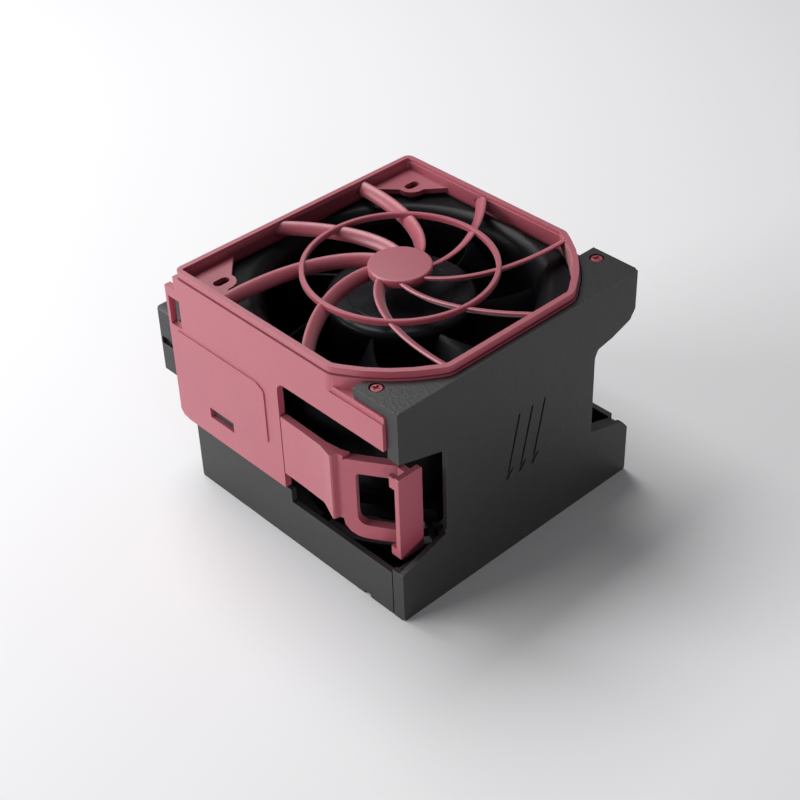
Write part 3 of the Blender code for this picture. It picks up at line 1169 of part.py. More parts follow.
def make_screws():
    """Pan-head screws that come up through the base posts into the fan's foot flange."""
    foot = SCREW_SINK
    under = foot + SCREW_HEAD_HEIGHT
    tip = FAN_FOOT + FLANGE_FOOT - GAP
    for index, place in enumerate(screw_places(), 1):
        screw = turned(f"fan_screw_{index}", [
            (0, tip), (SCREW_SHANK * 0.6, tip), (SCREW_SHANK, tip - 0.7 * MM), (SCREW_SHANK, under),
            (SCREW_HEAD, under), (SCREW_HEAD, foot + 0.5 * MM), (SCREW_HEAD - 0.6 * MM, foot), (0, foot)],
            20, centre=place, material=STEEL)
        x, y = place
        half = DRIVE_WIDTH / 2
        low, high = -GAP, foot + 0.8 * MM
        cut(screw, block(f"drive_{index}_x", (x - DRIVE_REACH, y - half, low),
                         (x + DRIVE_REACH, y + half, high)))
        cut(screw, block(f"drive_{index}_y", (x - half, y - DRIVE_REACH, low),
                         (x + half, y + DRIVE_REACH, high)))


make_bezel_frame()
make_finger_guard()
make_release_latch()
make_side_cover()
make_base_frame()
make_exhaust_guard()
make_fan_housing()
make_rotor()
make_bearings()
make_stator()
make_motor_board()
make_connector()
make_rivets()
make_screws()
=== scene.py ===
import json
import math

import bmesh
import bpy
from mathutils import Matrix, Vector


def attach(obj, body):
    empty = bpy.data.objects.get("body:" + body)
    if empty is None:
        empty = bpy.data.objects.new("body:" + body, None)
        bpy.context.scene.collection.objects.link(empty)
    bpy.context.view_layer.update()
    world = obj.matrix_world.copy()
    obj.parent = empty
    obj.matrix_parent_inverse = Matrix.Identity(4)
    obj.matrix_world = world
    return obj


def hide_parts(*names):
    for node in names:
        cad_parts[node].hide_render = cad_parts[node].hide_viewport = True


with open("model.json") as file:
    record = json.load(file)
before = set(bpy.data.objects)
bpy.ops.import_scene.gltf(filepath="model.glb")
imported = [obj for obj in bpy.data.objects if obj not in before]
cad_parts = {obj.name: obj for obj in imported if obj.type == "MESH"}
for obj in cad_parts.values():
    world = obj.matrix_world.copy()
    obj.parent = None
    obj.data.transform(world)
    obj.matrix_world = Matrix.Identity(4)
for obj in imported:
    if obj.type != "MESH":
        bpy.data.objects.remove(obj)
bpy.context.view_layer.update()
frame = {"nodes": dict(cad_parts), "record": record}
MM = 0.001

# Camera. The photograph looks down on the corner between the latch wall and the side
# cover, from about 0.36 m away, with the module a little turned in the frame.
SENSOR_WIDTH = 36.0
PICTURE_WIDTH = 800.0
FOCAL_LENGTH = 1631.0  # in pixels of the picture
EYE = (0.220638, -0.196528, 0.245038)
RIGHT = Vector((0.687132, 0.725958, -0.028891))
DOWN = Vector((0.426781, -0.435499, -0.79259))
FORWARD = Vector((-0.587969, 0.532283, -0.609071))


def linked(name, data):
    """New object in the scene that holds the data."""
    made = bpy.data.objects.new(name, data)
    bpy.context.scene.collection.objects.link(made)
    return made


camera_data = bpy.data.cameras.new("camera")
camera_data.sensor_width = SENSOR_WIDTH
camera_data.lens = FOCAL_LENGTH * SENSOR_WIDTH / PICTURE_WIDTH
camera = linked("camera", camera_data)
camera.matrix_world = Matrix.Translation(EYE) @ Matrix((RIGHT, -DOWN, -FORWARD)).transposed().to_4x4()
bpy.context.scene.camera = camera

# Studio. Pale paper under the module, a broad soft lamp overhead, one low on the left for the
# latch wall and one near the floor for the side cover, with a faint sky to fill the shadows.
FLOOR_GAP = 0.05 * MM


def set_inputs(node, values):
    for label, value in dict(values).items():
        node.inputs[label].default_value = value


def shader_of(material):
    return material.node_tree.nodes["Principled BSDF"]


def lamp(name, place, target, size, power):
    light = bpy.data.lights.new(name, "AREA")
    light.shape = "RECTANGLE"
    light.size, light.size_y = size
    light.energy = power
    holder = linked(name, light)
    holder.location = place
    aim = Vector(target) - Vector(place)
    holder.rotation_euler = aim.to_track_quat("-Z", "Y").to_euler()


def object_from(shape, name):
    """Linked object whose mesh is the finished shape."""
    mesh = bpy.data.meshes.new(name)
    shape.to_mesh(mesh)
    shape.free()
    return linked(name, mesh)


bpy.context.scene.view_settings.view_transform = "Standard"
world = bpy.data.worlds.new("studio")
bpy.context.scene.world = world
world.use_nodes = True
set_inputs(world.node_tree.nodes["Background"], {"Color": (0.92, 0.93, 0.95, 1.0), "Strength": 0.17})

lamp("overhead", (-0.34, 0.02, 0.58), (0.0, 0.0, 0.04), (0.45, 0.35), 3.9)
lamp("low_left", (-0.40, -0.62, 0.22), (0.0, 0.0, 0.03), (0.55, 0.34), 6.2)
lamp("cover_side", (0.72, -0.25, 0.08), (0.0, 0.0, 0.04), (0.3, 0.14), 1.9)

floor_shape = bmesh.new()
bmesh.ops.create_grid(floor_shape, x_segments=1, y_segments=1, size=3.0)
floor = object_from(floor_shape, "floor")
floor.location.z = -FLOOR_GAP
floor_paper = bpy.data.materials.new("floor_paper")
floor_paper.use_nodes = True
set_inputs(shader_of(floor_paper), {"Base Color": (0.74, 0.74, 0.75, 1.0), "Roughness": 0.9})
floor.data.materials.append(floor_paper)

# Base frame. The black tray that the fan stands on: a moulded part in a glass-filled nylon
# with a fine spark-eroded grain, posts for the fan's screws and tongues for the bezel.
GRAIN_SCALE = 2600.0
WELD = 0.002 * MM
FLAT_ANGLE = math.radians(0.6)
EDGE_ANGLE = math.radians(28)
FLOAT, INTEGER, COLOUR = "NodeSocketFloat", "NodeSocketInt", "NodeSocketColor"


def add(tree, kind, inputs=(), **settings):
    """Node of a kind, with its settings and with values or links on its inputs."""
    made = tree.nodes.new(kind)
    for name, value in settings.items():
        setattr(made, name, value)
    for key, value in dict(inputs).items():
        if isinstance(value, bpy.types.NodeSocket):
            tree.links.new(value, made.inputs[key])
        else:
            made.inputs[key].default_value = value
    return made


def math_node(tree, operation, first, second=0.0):
    return add(tree, "ShaderNodeMath", {0: first, 1: second}, operation=operation).outputs[0]


def plus(tree, first, second):
    return math_node(tree, "ADD", first, second)


def less(tree, first, second):
    return math_node(tree, "SUBTRACT", first, second)


def times(tree, first, second):
    return math_node(tree, "MULTIPLY", first, second)


def open_group(name, kind, inputs, outputs):
    """Empty node group with named sockets, with what it is given and what it results in."""
    tree = bpy.data.node_groups.new(name, kind)
    for label, socket, value in inputs:
        made = tree.interface.new_socket(label, in_out="INPUT", socket_type=socket)
        if value is not None:
            made.default_value = value
    for label, socket in outputs:
        tree.interface.new_socket(label, in_out="OUTPUT", socket_type=socket)
    return tree, tree.nodes.new("NodeGroupInput").outputs, tree.nodes.new("NodeGroupOutput").inputs


def make_moulded_surface():
    """Moulded plastic: eroded grain, slow changes of tone and gloss, and a painted highlight in patches on the
    rounded edges.
    """
    tree, given, result = open_group("moulded_surface", "ShaderNodeTree", [
        ("Colour", COLOUR, (0.5, 0.5, 0.5, 1.0)), ("Edge Colour", COLOUR, (0.7, 0.7, 0.7, 1.0)),
        ("Edge Wear", FLOAT, 0.3), ("Grain Scale", FLOAT, GRAIN_SCALE), ("Cloud Scale", FLOAT, 70.0),
        ("Scuff Scale", FLOAT, 420.0), ("Speck Share", FLOAT, 3.0), ("Tone Spread", FLOAT, 0.1),
        ("Roughness", FLOAT, 0.5), ("Gloss Spread", FLOAT, 0.1)],
        [("Colour", COLOUR), ("Roughness", FLOAT), ("Height", FLOAT)])
    place = add(tree, "ShaderNodeTexCoord").outputs["Object"]
    grain = add(tree, "ShaderNodeTexNoise", {"Vector": place, "Scale": given["Grain Scale"],
                                             "Detail": 2.0, "Roughness": 0.6}).outputs[0]
    cloud, patches = (add(tree, "ShaderNodeTexNoise", {"Vector": place, "Scale": given[scale],
                                                     "Detail": detail}).outputs[0]
                    for scale, detail in (("Cloud Scale", 4.0), ("Scuff Scale", 5.0)))
    shift, speck = (times(tree, less(tree, noise, 0.5), given["Tone Spread"]) for noise in (cloud, grain))
    value = plus(tree, 1.0, plus(tree, shift, times(tree, speck, given["Speck Share"])))
    toned = add(tree, "ShaderNodeHueSaturation", {"Color": given["Colour"], "Value": value}).outputs[0]
    # Painted highlight: the rounds are made paler in patches, in place of the light that their edges catch.
    highlight_rounds = add(tree, "ShaderNodeAttribute", attribute_name="eased_edge").outputs["Fac"]
    highlighted = times(tree, times(tree, highlight_rounds, patches), given["Edge Wear"])
    mixed = add(tree, "ShaderNodeMix", {0: highlighted, 6: toned, 7: given["Edge Colour"]}, data_type="RGBA")
    rough = plus(tree, given["Roughness"], times(tree, less(tree, patches, 0.5), given["Gloss Spread"]))
    for label, made in (("Colour", mixed.outputs[2]), ("Roughness", rough), ("Height", grain)):
        tree.links.new(made, result[label])
    return tree


moulded_surface = make_moulded_surface()


def moulded(name, colour, edge, roughness, grain=GRAIN_SCALE, depth=0.02, edge_highlight=0.3, tone=0.12, gloss=0.1,
            fixed=()):
    """Plastic on the moulded surface. Its grain has a depth in millimetres, and fixed are constants."""
    material = bpy.data.materials.new(name)
    material.use_nodes = True
    tree = material.node_tree
    surface = add(tree, "ShaderNodeGroup", node_tree=moulded_surface)
    # The edge colour is a painted highlight, laid in patches on the rounds at the given share.
    set_inputs(surface, {"Colour": (*colour, 1.0), "Edge Colour": (*edge, 1.0), "Edge Wear": edge_highlight,
                         "Grain Scale": grain, "Tone Spread": tone, "Roughness": roughness,
                         "Gloss Spread": gloss})
    bump = add(tree, "ShaderNodeBump", {"Strength": 1.0, "Distance": depth * MM,
                                        "Height": surface.outputs["Height"]})
    shader = shader_of(material)
    tree.links.new(surface.outputs["Colour"], shader.inputs["Base Color"])
    tree.links.new(surface.outputs["Roughness"], shader.inputs["Roughness"])
    tree.links.new(bump.outputs[0], shader.inputs["Normal"])
    set_inputs(shader, fixed)
    return material


def as_piece(source):
    """The object's evaluated mesh as a plain object at the origin; the object and its tools go."""
    name = source.name
    bpy.context.view_layer.update()
    mesh = bpy.data.meshes.new_from_object(source.evaluated_get(bpy.context.evaluated_depsgraph_get()))
    mesh.transform(source.matrix_world)
    tools = [modifier.object for modifier in source.modifiers if modifier.type == "BOOLEAN"]
    for spent in [source, *tools]:
        bpy.data.objects.remove(spent)
    mesh.name = name
    return linked(name, mesh)


def shaded(piece, smooth=35):
    """Smooth shading up to an angle, with flat faces kept flat beside their rounds."""
    piece.data.shade_smooth()
    piece.data.set_sharp_from_angle(angle=math.radians(smooth))
    weigh = piece.modifiers.new("weigh", "WEIGHTED_NORMAL")
    weigh.keep_sharp = True
    return as_piece(piece)


def eased(piece, radius, smooth=35):
    """Whole flat faces, and small rounds along the edges, which are marked to take a painted highlight."""
    shape = bmesh.new()
    shape.from_mesh(piece.data)
    bmesh.ops.remove_doubles(shape, verts=shape.verts, dist=WELD)
    bmesh.ops.dissolve_limit(shape, angle_limit=FLAT_ANGLE, verts=shape.verts, edges=shape.edges)
    shape.to_mesh(piece.data)
    shape.free()
    for _ in range(2):  # the rounds are told apart by the second slot
        piece.data.materials.append(None)
    bevel = piece.modifiers.new("ease", "BEVEL")
    bevel.material = 1
    bevel.width = radius
    bevel.segments = 2
    bevel.limit_method = "ANGLE"
    bevel.angle_limit = EDGE_ANGLE
    bevel.miter_outer = "MITER_ARC"
    piece = as_piece(piece)
    # Mark the rounds, where the shader paints its highlight.
    rounds = piece.data.attributes.new("eased_edge", "FLOAT", "FACE")
    rounds.data.foreach_set("value", [float(face.material_index == 1) for face in piece.data.polygons])
    return shaded(piece, smooth)


def copy_of(node, name):
    """Loose copy of a CAD solid to be refined."""
    return linked(name, frame["nodes"][node].data.copy())


def finished(piece, material, body, slot, *stands_for):
    """Piece in its material, on its body, in place of the CAD solids that it stands for."""
    piece.data.materials.clear()
    piece.data.materials.append(material)
    for face in piece.data.polygons:
        face.material_index = 0
    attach(piece, body)
    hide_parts(*stands_for)


# The paler edge colour is a painted highlight on the tray's rounded edges.
tray_black = moulded("tray_black", (0.016, 0.016, 0.017), (0.09, 0.09, 0.093), 0.5)
finished(eased(copy_of("base_frame", "base_tray"), 0.2 * MM), tray_black, "module", "black_plastic",
         "base_frame")

# Exhaust guard. Flat moulded rings and spokes that close the outlet, pressed into a
# seat on the underside of the tray.
FAN_AXIS = (4.5 * MM, 0.55 * MM, 0.0)
CROSSING_STEP = 0.01 * MM
GEOMETRY, MATERIAL = "NodeSocketGeometry", "NodeSocketMaterial"


def vector(tree, **parts):
    return add(tree, "ShaderNodeCombineXYZ", parts).outputs[0]


def summed(tree, *vectors):
    total = vectors[0]
    for more in vectors[1:]:
        total = add(tree, "ShaderNodeVectorMath", {0: total, 1: more}, operation="ADD").outputs[0]
    return total


def stacked(tree, count, place):
    """Points that all lie at one place, one for each copy."""
    return add(tree, "GeometryNodeMeshLine", {"Count": count, "Start Location": place,
                                              "Offset": (0.0, 0.0, 0.0)}).outputs[0]


def copied(tree, points, shape, **more):
    """Instances of the shape at every point."""
    return add(tree, "GeometryNodeInstanceOnPoints", {"Points": points, "Instance": shape, **more}).outputs[0]


def turn_of(tree, index, count):
    """Rotation about the fan's axis by an index's share of a whole turn."""
    return vector(tree, Z=times(tree, math_node(tree, "DIVIDE", index, count), 2 * math.pi))


def close_group(tree, shape, given, result):
    """Ends a tree with plain mesh in its material."""
    plain = add(tree, "GeometryNodeRealizeInstances", {0: shape}).outputs[0]
    dressed = add(tree, "GeometryNodeSetMaterial", {"Geometry": plain, "Material": given["Material"]})
    tree.links.new(dressed.outputs[0], result["Geometry"])
    return tree


def make_bar_rule():
    """Concentric rings and a star of spokes, all of one rounded square bar."""
    tree, given, result = open_group("outlet_bars", "GeometryNodeTree", [
        ("Rings", INTEGER, 3), ("Spokes", INTEGER, 6), ("Inner Radius", FLOAT, 0.006),
        ("Outer Radius", FLOAT, 0.029), ("Bar", FLOAT, 0.0014), ("Flatness", FLOAT, 0.98),
        ("Roundness", FLOAT, 0.4), ("Material", MATERIAL, None)], [("Geometry", GEOMETRY)])
    index = add(tree, "GeometryNodeInputIndex").outputs[0]
    half = math_node(tree, "DIVIDE", given["Bar"], 2.0)
    centre = summed(tree, FAN_AXIS, vector(tree, Z=half))
    room = less(tree, given["Outer Radius"], given["Inner Radius"])
    pitch = math_node(tree, "DIVIDE", room, plus(tree, given["Rings"], 1.0))
    radius = plus(tree, given["Inner Radius"], times(tree, pitch, plus(tree, index, 1.0)))
    loop = add(tree, "GeometryNodeCurvePrimitiveCircle", {"Resolution": 80, "Radius": 1.0}).outputs[0]
    loops = copied(tree, stacked(tree, given["Rings"], centre), loop, Scale=radius)
    star = stacked(tree, given["Spokes"], summed(tree, centre, (0.0, 0.0, -CROSSING_STEP)))
    ray = add(tree, "GeometryNodeCurvePrimitiveLine", {
        "Start": vector(tree, X=less(tree, given["Inner Radius"], half)),
        "End": vector(tree, X=plus(tree, given["Outer Radius"], half))}).outputs[0]
    rays = copied(tree, star, ray, Rotation=turn_of(tree, plus(tree, index, 0.5), given["Spokes"]))
    lines = add(tree, "GeometryNodeJoinGeometry")
    tree.links.new(loops, lines.inputs[0])
    tree.links.new(rays, lines.inputs[0])
    paths = add(tree, "GeometryNodeRealizeInstances", {0: lines.outputs[0]}).outputs[0]
    square = add(tree, "GeometryNodeCurvePrimitiveQuadrilateral", {
        "Width": given["Bar"], "Height": times(tree, given["Bar"], given["Flatness"])}).outputs[0]
    rounded = add(tree, "GeometryNodeFilletCurve", {
        "Curve": square, "Count": 3, "Limit Radius": True,
        "Radius": times(tree, half, given["Roundness"])}, mode="POLY").outputs[0]
    bars = add(tree, "GeometryNodeCurveToMesh", {"Curve": paths, "Profile Curve": rounded,
                                                 "Fill Caps": True}).outputs[0]
    flat = add(tree, "GeometryNodeSetShadeSmooth", {"Geometry": bars, "Shade Smooth": False}).outputs[0]
    return close_group(tree, flat, given, result)


def rule_piece(name, tree, values, points=()):
    """Plain mesh that a node tree makes from values for its named inputs and any points."""
    mesh = bpy.data.meshes.new(name)
    mesh.from_pydata(points, [], [])
    holder = linked(name, mesh)
    rule = holder.modifiers.new("rule", "NODES")
    rule.node_group = tree
    for item in tree.interface.items_tree:
        if item.in_out == "INPUT" and item.name in values:
            rule[item.identifier] = values[item.name]
    return as_piece(holder)


def revolved(name, profile, steps=96):
    """Closed profile of (radius, height) in millimetres turned about the fan's axis."""
    shape = bmesh.new()
    rim = [shape.verts.new((radius * MM, 0, height * MM)) for radius, height in profile]
    edges = [shape.edges.new((rim[index - 1], rim[index])) for index in range(len(rim))]
    bmesh.ops.spin(shape, geom=rim + edges, cent=(0, 0, 0), axis=(0, 0, 1), angle=2 * math.pi, steps=steps,
                   use_merge=True)
    bmesh.ops.remove_doubles(shape, verts=shape.verts, dist=WELD / 2)
    bmesh.ops.recalc_face_normals(shape, faces=shape.faces)
    bmesh.ops.translate(shape, vec=FAN_AXIS, verts=shape.verts)
    return object_from(shape, name)


def joined(name, *pieces):
    """One object from several; the pieces go."""
    shape = bmesh.new()
    for piece in pieces:
        shape.from_mesh(piece.data)
        bpy.data.objects.remove(piece)
    return object_from(shape, name)


outlet_bars = rule_piece("outlet_bars", make_bar_rule(), {"Rings": 3, "Spokes": 6, "Material": tray_black})
outlet_rim = revolved("outlet_rim", [
    (28.6, 0.0), (30.5, 0.0), (30.7, 0.2), (30.7, 1.2), (30.5, 1.4), (28.6, 1.4)])
outlet_hub = revolved("outlet_hub", [(0.0, 0.0), (5.8, 0.0), (6.0, 0.2), (6.0, 1.2), (5.8, 1.4), (0.0, 1.4)])
finished(joined("outlet_guard", outlet_bars, outlet_rim, outlet_hub), tray_black, "module", "black_plastic",
         "exhaust_guard")

# Fan housing. A 60 mm axial fan's body: square foot, round barrel and a flared inlet plate
# in near-black plastic, with guide vanes and the motor cup at the outlet.
# The paler edge colours of the fan's plastics are painted highlights on their rounds, laid at a low share.
FAN_PLASTIC = {"grain": 900.0, "depth": 0.004, "edge_highlight": 0.1, "tone": 0.1, "gloss": 0.08,
               "fixed": {"Specular IOR Level": 0.12}}
housing_black = moulded("housing_black", (0.005, 0.005, 0.006), (0.04, 0.04, 0.043), 0.34, **FAN_PLASTIC)
finished(eased(copy_of("fan_housing", "fan_body"), 0.15 * MM, smooth=40), housing_black, "module",
         "black_plastic", "fan_housing")

# Impeller. Seven twisted blades on a cup-shaped hub, moulded in one in a near-black
# semi-gloss plastic. It turns with the motor's yoke inside the hub.
blade_black = moulded("blade_black", (0.007, 0.007, 0.009), (0.04, 0.04, 0.045), 0.34, **FAN_PLASTIC)


def scaled(tree, axis, amount):
    return add(tree, "ShaderNodeVectorMath", {0: axis, "Scale": amount}, operation="SCALE").outputs[0]


def about_axis(tree, angle):
    """Unit vectors outwards and around at an angle about the fan's axis."""
    east, north = math_node(tree, "COSINE", angle), math_node(tree, "SINE", angle)
    return vector(tree, X=east, Y=north), vector(tree, X=times(tree, north, -1.0), Y=east)


def spun(tree, shape, given, result):
    """Ends a tree with copies at even turns about the fan's axis."""
    turn = turn_of(tree, add(tree, "GeometryNodeInputIndex").outputs[0], given["Count"])
    copies = copied(tree, stacked(tree, given["Count"], FAN_AXIS), shape, Rotation=turn)
    return close_group(tree, copies, given, result)


def make_blade_rule():
    """Fan blade: it wraps more towards the tip, its leading edge up and forward, thin at both edges."""
    tree, given, result = open_group("fan_blades", "GeometryNodeTree", [
        ("Count", INTEGER, 7), ("Root", FLOAT, 0.01575), ("Tip", FLOAT, 0.0284), ("Top", FLOAT, 0.0485),
        ("Height", FLOAT, 0.0245), ("Tip Shortening", FLOAT, 0.1), ("Tip Drop", FLOAT, 0.0006),
        ("Steepness", FLOAT, 1.15), ("Thickness", FLOAT, 0.0014), ("Edge Thickness", FLOAT, 0.3),
        ("Middle Thickness", FLOAT, 0.75), ("Fullness", FLOAT, 0.6), ("Wrap Root", FLOAT, 0.6632),
        ("Wrap Tip", FLOAT, 0.8727), ("Sweep", FLOAT, 0.1571), ("Camber", FLOAT, 0.0873),
        ("Phase", FLOAT, 1.2217), ("Material", MATERIAL, None)], [("Geometry", GEOMETRY)])
    block = add(tree, "GeometryNodeMeshCube", {"Size": (1.0, 1.0, 1.0), "Vertices X": 11, "Vertices Y": 25,
                                               "Vertices Z": 2}).outputs[0]
    place = add(tree, "ShaderNodeSeparateXYZ", {0: add(tree, "GeometryNodeInputPosition").outputs[0]}).outputs
    across, fall = plus(tree, place[0], 0.5), plus(tree, place[1], 0.5)
    radius = plus(tree, given["Root"], times(tree, across, less(tree, given["Tip"], given["Root"])))
    spread = less(tree, given["Wrap Tip"], given["Wrap Root"])
    wrap = plus(tree, given["Wrap Root"], times(tree, across, spread))
    arch = math_node(tree, "SINE", times(tree, fall, math.pi))
    swept = plus(tree, given["Phase"], times(tree, given["Sweep"], across))
    wound = times(tree, wrap, less(tree, 0.5, fall))
    outward, around = about_axis(tree, plus(tree, swept, plus(tree, wound, times(tree, given["Camber"], arch))))
    tall = times(tree, given["Height"], less(tree, 1.0, times(tree, across, given["Tip Shortening"])))
    drop = times(tree, tall, math_node(tree, "POWER", fall, given["Steepness"]))
    level = less(tree, given["Top"], plus(tree, drop, times(tree, across, given["Tip Drop"])))
    upright = vector(tree, Z=1.0)
    run = times(tree, times(tree, radius, wrap), -1.0)
    side = add(tree, "ShaderNodeVectorMath", {0: summed(tree, scaled(tree, around, tall), scaled(
        tree, upright, run))}, operation="NORMALIZE").outputs[0]
    fat = plus(tree, given["Edge Thickness"], times(
        tree, given["Middle Thickness"], math_node(tree, "POWER", arch, given["Fullness"])))
    depth = times(tree, times(tree, place[2], fat), given["Thickness"])
    point = summed(tree, scaled(tree, outward, radius), scaled(tree, upright, level), scaled(tree, side, depth))
    blade = add(tree, "GeometryNodeSetPosition", {"Geometry": block, "Position": point}).outputs[0]
    return spun(tree, blade, given, result)


fan_blades = rule_piece("fan_blades", make_blade_rule(), {"Count": 7, "Material": blade_black})
fan_hub = revolved("fan_hub", [
    (0.0, 50.0), (11.4, 50.0), (11.5, 49.85), (11.9, 49.85), (12.0, 50.0), (14.8, 50.0), (15.5, 49.85),
    (16.1, 49.4), (16.4, 48.8), (16.5, 48.1), (16.5, 22.3), (16.3, 22.1), (15.0, 22.1), (15.0, 48.5),
    (3.6, 48.5), (3.6, 43.6), (1.7, 43.6), (1.7, 48.9), (0.0, 48.9)])
finished(shaded(joined("fan_wheel", fan_blades, fan_hub), 40), blade_black, "rotor", "blade_black", "impeller")

# Bezel frame. The red carrier: walls round the fan, the label's recess, the rail over the
# latch and the shelves that the cover's plates are riveted to.
# The paler edge colour is a painted highlight along the frame's rounds.
carrier_red = moulded("carrier_red", (0.31, 0.042, 0.070), (0.50, 0.14, 0.19), 0.42, depth=0.012, edge_highlight=0.35,
                      tone=0.10, fixed={"Specular IOR Level": 0.8, "Sheen Weight": 0.25,
                                        "Sheen Roughness": 0.5})
finished(eased(copy_of("bezel_frame", "carrier_frame"), 0.25 * MM), carrier_red, "module", "red_plastic",
         "bezel_frame")

# Finger guard. The red grille over the intake: eight swirl ribs that lean like the fan's
# inflow, a ring, a round middle and the rim that is seated in the frame.
RIB_THICKNESS = 1.05 * MM
RIB_FACES = (0.1, 0.985)  # upward share of the normals of the ribs' faces
RIM_CLEARANCE = 28 * MM  # the rim lies farther than this from the fan's axis
RIM_MIDDLE = (4.9 * MM, 0.0)
CORE_SHARE = 0.978


def make_rib_rule():
    """Swirl rib: a log spiral whose leaning, bowed section is rounded on all its edges."""
    tree, given, result = open_group("swirl_ribs", "GeometryNodeTree", [
        ("Count", INTEGER, 8), ("Start", FLOAT, 0.0057), ("Reach", FLOAT, 0.0373),
        ("Ring Radius", FLOAT, 0.021), ("Top", FLOAT, 0.05645), ("Slant", FLOAT, 0.0037),
        ("Thickness", FLOAT, 0.0013), ("Camber", FLOAT, 0.0003), ("Lean", FLOAT, 0.9076),
        ("Sweep", FLOAT, 0.6213), ("Phase", FLOAT, 1.4696), ("Roundness", FLOAT, 0.9),
        ("Material", MATERIAL, None)], [("Geometry", GEOMETRY)])
    block = add(tree, "GeometryNodeMeshCube", {"Size": (1.0, 2.0, 2.0), "Vertices X": 41, "Vertices Y": 9,
                                               "Vertices Z": 5}).outputs[0]
    place = add(tree, "ShaderNodeSeparateXYZ", {0: add(tree, "GeometryNodeInputPosition").outputs[0]}).outputs
    radius = plus(tree, given["Start"], times(tree, plus(tree, place[0], 0.5), given["Reach"]))
    logarithm = math_node(tree, "LOGARITHM", math_node(tree, "DIVIDE", radius, given["Ring Radius"]), math.e)
    outward, around = about_axis(tree, plus(tree, given["Phase"], times(tree, given["Sweep"], logarithm)))
    halves = []
    for mine, other in ((1, 2), (2, 1)):
        square = times(tree, place[other], place[other])
        shrink = times(tree, times(tree, square, 0.5), given["Roundness"])
        halves.append(times(tree, place[mine], math_node(tree, "SQRT", less(tree, 1.0, shrink))))
    sine, cosine = math_node(tree, "SINE", given["Lean"]), math_node(tree, "COSINE", given["Lean"])
    upright = vector(tree, Z=1.0)
    under = summed(tree, scaled(tree, around, sine), scaled(tree, upright, times(tree, cosine, -1.0)))
    over = summed(tree, scaled(tree, around, cosine), scaled(tree, upright, sine))
    share = times(tree, plus(tree, halves[0], 1.0), 0.5)
    bow = times(tree, given["Camber"], math_node(tree, "SINE", times(tree, share, math.pi)))
    rise = plus(tree, bow, times(tree, halves[1], times(tree, given["Thickness"], 0.5)))
    point = summed(tree, scaled(tree, outward, radius), scaled(tree, upright, given["Top"]),
                   scaled(tree, under, times(tree, share, given["Slant"])), scaled(tree, over, rise))
    rib = add(tree, "GeometryNodeSetPosition", {"Geometry": block, "Position": point}).outputs[0]
    return spun(tree, rib, given, result)


def guard_rim():
    """The seated rim and its two lugs, without the leaning faces of the ribs and what they carry."""
    rim = copy_of("finger_guard", "guard_rim")
    shape = bmesh.new()
    shape.from_mesh(rim.data)
    axis = Vector(FAN_AXIS).to_2d()
    inner = [face for face in shape.faces
             if RIB_FACES[0] < abs(face.normal.z) < RIB_FACES[1]
             or (face.calc_center_median().to_2d() - axis).length < RIM_CLEARANCE]
    bmesh.ops.delete(shape, geom=inner, context="FACES")
    shape.to_mesh(rim.data)
    shape.free()
    return rim


def rim_core(rim):
    """Solid whose sides run inside the rim's wall, to end the ribs there."""
    shape = bmesh.new()
    shape.from_mesh(rim.data)
    hull = bmesh.ops.convex_hull(shape, input=shape.verts)["geom"]
    kept = {item for item in hull if isinstance(item, bmesh.types.BMFace)}
    bmesh.ops.delete(shape, geom=[face for face in shape.faces if face not in kept], context="FACES")
    bmesh.ops.delete(shape, geom=[vert for vert in shape.verts if not vert.link_faces], context="VERTS")
    for vert in shape.verts:
        for axis, middle in enumerate(RIM_MIDDLE):
            vert.co[axis] = middle + (vert.co[axis] - middle) * CORE_SHARE
    return object_from(shape, "rim_core")


rim = guard_rim()
ribs = rule_piece("swirl_ribs", make_rib_rule(), {"Count": 8, "Thickness": RIB_THICKNESS,
                                                  "Material": carrier_red})
ending = ribs.modifiers.new("ending", "BOOLEAN")
ending.operation = "INTERSECT"
ending.solver = "EXACT"
ending.object = rim_core(rim)
ribs = as_piece(ribs)
ring = revolved("guard_ring", [
    (20.45, 55.8), (20.55, 55.7), (21.45, 55.7), (21.55, 55.8), (21.55, 56.8), (21.35, 57.0),
    (20.65, 57.0), (20.45, 56.8)], 128)
boss = revolved("guard_boss", [
    (0.0, 55.1), (6.8, 55.1), (7.0, 55.3), (7.0, 56.65), (6.9, 56.9), (6.65, 57.0), (0.0, 57.0)])
finished(shaded(joined("swirl_guard", eased(rim, 0.2 * MM), ribs, ring, boss)), carrier_red, "module",
         "red_plastic", "finger_guard")

# Release latch. The sprung arm with its catch, the finger ring turned inwards and the
# thumb tab, moulded in the same red as the frame.
finished(eased(copy_of("release_latch", "latch"), 0.25 * MM), carrier_red, "latch", "red_plastic",
         "release_latch")

# Side cover. The black outer cover on the side away from the connector, with a sandy grain,
# three flow arrows and two riveted corner plates.
# The grey edge colour, laid at a high share, paints bright highlight lines along the cover's chamfers.
cover_black = moulded("cover_black", (0.015, 0.015, 0.016), (0.20, 0.20, 0.205), 0.45, grain=1900.0,
                      depth=0.06, edge_highlight=0.7, tone=0.3)
finished(eased(copy_of("side_cover", "outer_cover"), 0.25 * MM), cover_black, "module", "textured_black",
         "side_cover")

# Connector. The blind-mate block on the far side from the cover, with six gold-coloured
# contacts in narrow cavities.
finished(eased(copy_of("connector_housing", "connector_block"), 0.15 * MM), tray_black, "module",
         "black_plastic", "connector_housing")

# Rivets. Two red push rivets with a cross recess in the head. Each goes through a corner
# plate of the cover into the bezel's shelf under it.
# The paler edge colour is a painted highlight on the rivet heads' rounds.
rivet_red = moulded("rivet_red", (0.33, 0.06, 0.08), (0.5, 0.2, 0.2), 0.35)


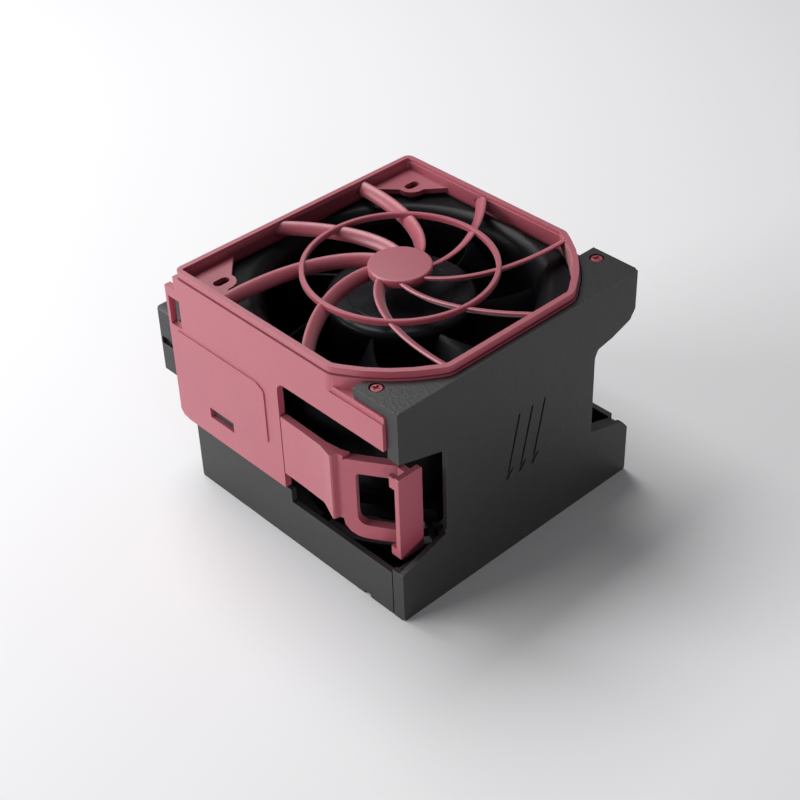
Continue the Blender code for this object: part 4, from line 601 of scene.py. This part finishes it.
def make_copy_rule():
    """One finished piece repeated at every given point."""
    tree, given, result = open_group("copies", "GeometryNodeTree", [
        ("Geometry", GEOMETRY, None), ("Piece", "NodeSocketObject", None), ("Material", MATERIAL, None)],
        [("Geometry", GEOMETRY)])
    piece = add(tree, "GeometryNodeObjectInfo", {"Object": given["Piece"]}).outputs["Geometry"]
    return close_group(tree, copied(tree, given["Geometry"], piece), given, result)


copy_rule = make_copy_rule()


def middle_of(mesh):
    low, high = ([pick(vert.co[axis] for vert in mesh.vertices) for axis in range(3)] for pick in (min, max))
    return (Vector(low) + Vector(high)) / 2


def repeated(name, nodes, radius, material, body, slot):
    """The first of several like pieces, eased and set where each of them is."""
    piece = eased(copy_of(nodes[0], name + "_piece"), radius)
    piece.data.transform(Matrix.Translation(-middle_of(piece.data)))
    places = [middle_of(frame["nodes"][node].data) for node in nodes]
    whole = rule_piece(name, copy_rule, {"Piece": piece, "Material": material}, places)
    bpy.data.objects.remove(piece)
    finished(whole, material, body, slot, *nodes)


repeated("push_rivets", ["front_rivet", "rear_rivet"], 0.06 * MM, rivet_red, "module", "red_plastic")

# Metal and inner parts. The screws and contacts can be seen and have eased edges. What the
# fan holds inside keeps its solid, in the finish of its own metal, wire, board or nylon.
# The metals' edges are painted lighter by this gain, a painted highlight on their rounds.
EDGE_HIGHLIGHT_GAIN = 1.3


def plain_metal(name, colour, roughness, metallic=1.0):
    edge = tuple(min(1.0, part * EDGE_HIGHLIGHT_GAIN) for part in colour)
    return moulded(name, colour, edge, roughness, grain=3000.0, depth=0.004, edge_highlight=0.2, tone=0.08,
                   fixed={"Metallic": metallic})


finishes = {
    "steel": plain_metal("bright_steel", (0.56, 0.56, 0.57), 0.28),
    "brass": plain_metal("gilt_brass", (0.80, 0.62, 0.30), 0.25),
    "copper_wire": plain_metal("enamelled_wire", (0.66, 0.28, 0.13), 0.33),
    "ferrite": plain_metal("ferrite_grey", (0.10, 0.10, 0.105), 0.6, 0.0),
    "board_green": plain_metal("board_mask", (0.03, 0.19, 0.08), 0.35, 0.0),
    "insulator": plain_metal("white_nylon", (0.78, 0.76, 0.70), 0.5, 0.0),
}
screws, contacts = (sorted(node for node in frame["nodes"] if node.startswith(start))
                    for start in ("fan_screw", "contact"))
repeated("fan_screws", screws, 0.08 * MM, finishes["steel"], "module", "steel")
repeated("contacts", contacts, 0.08 * MM, finishes["brass"], "module", "brass")
for part in frame["record"]["subparts"]:
    if part["material_slot"] in finishes and part["node"] not in screws + contacts:
        solid = frame["nodes"][part["node"]]
        solid.data.materials.clear()
        solid.data.materials.append(finishes[part["material_slot"]])
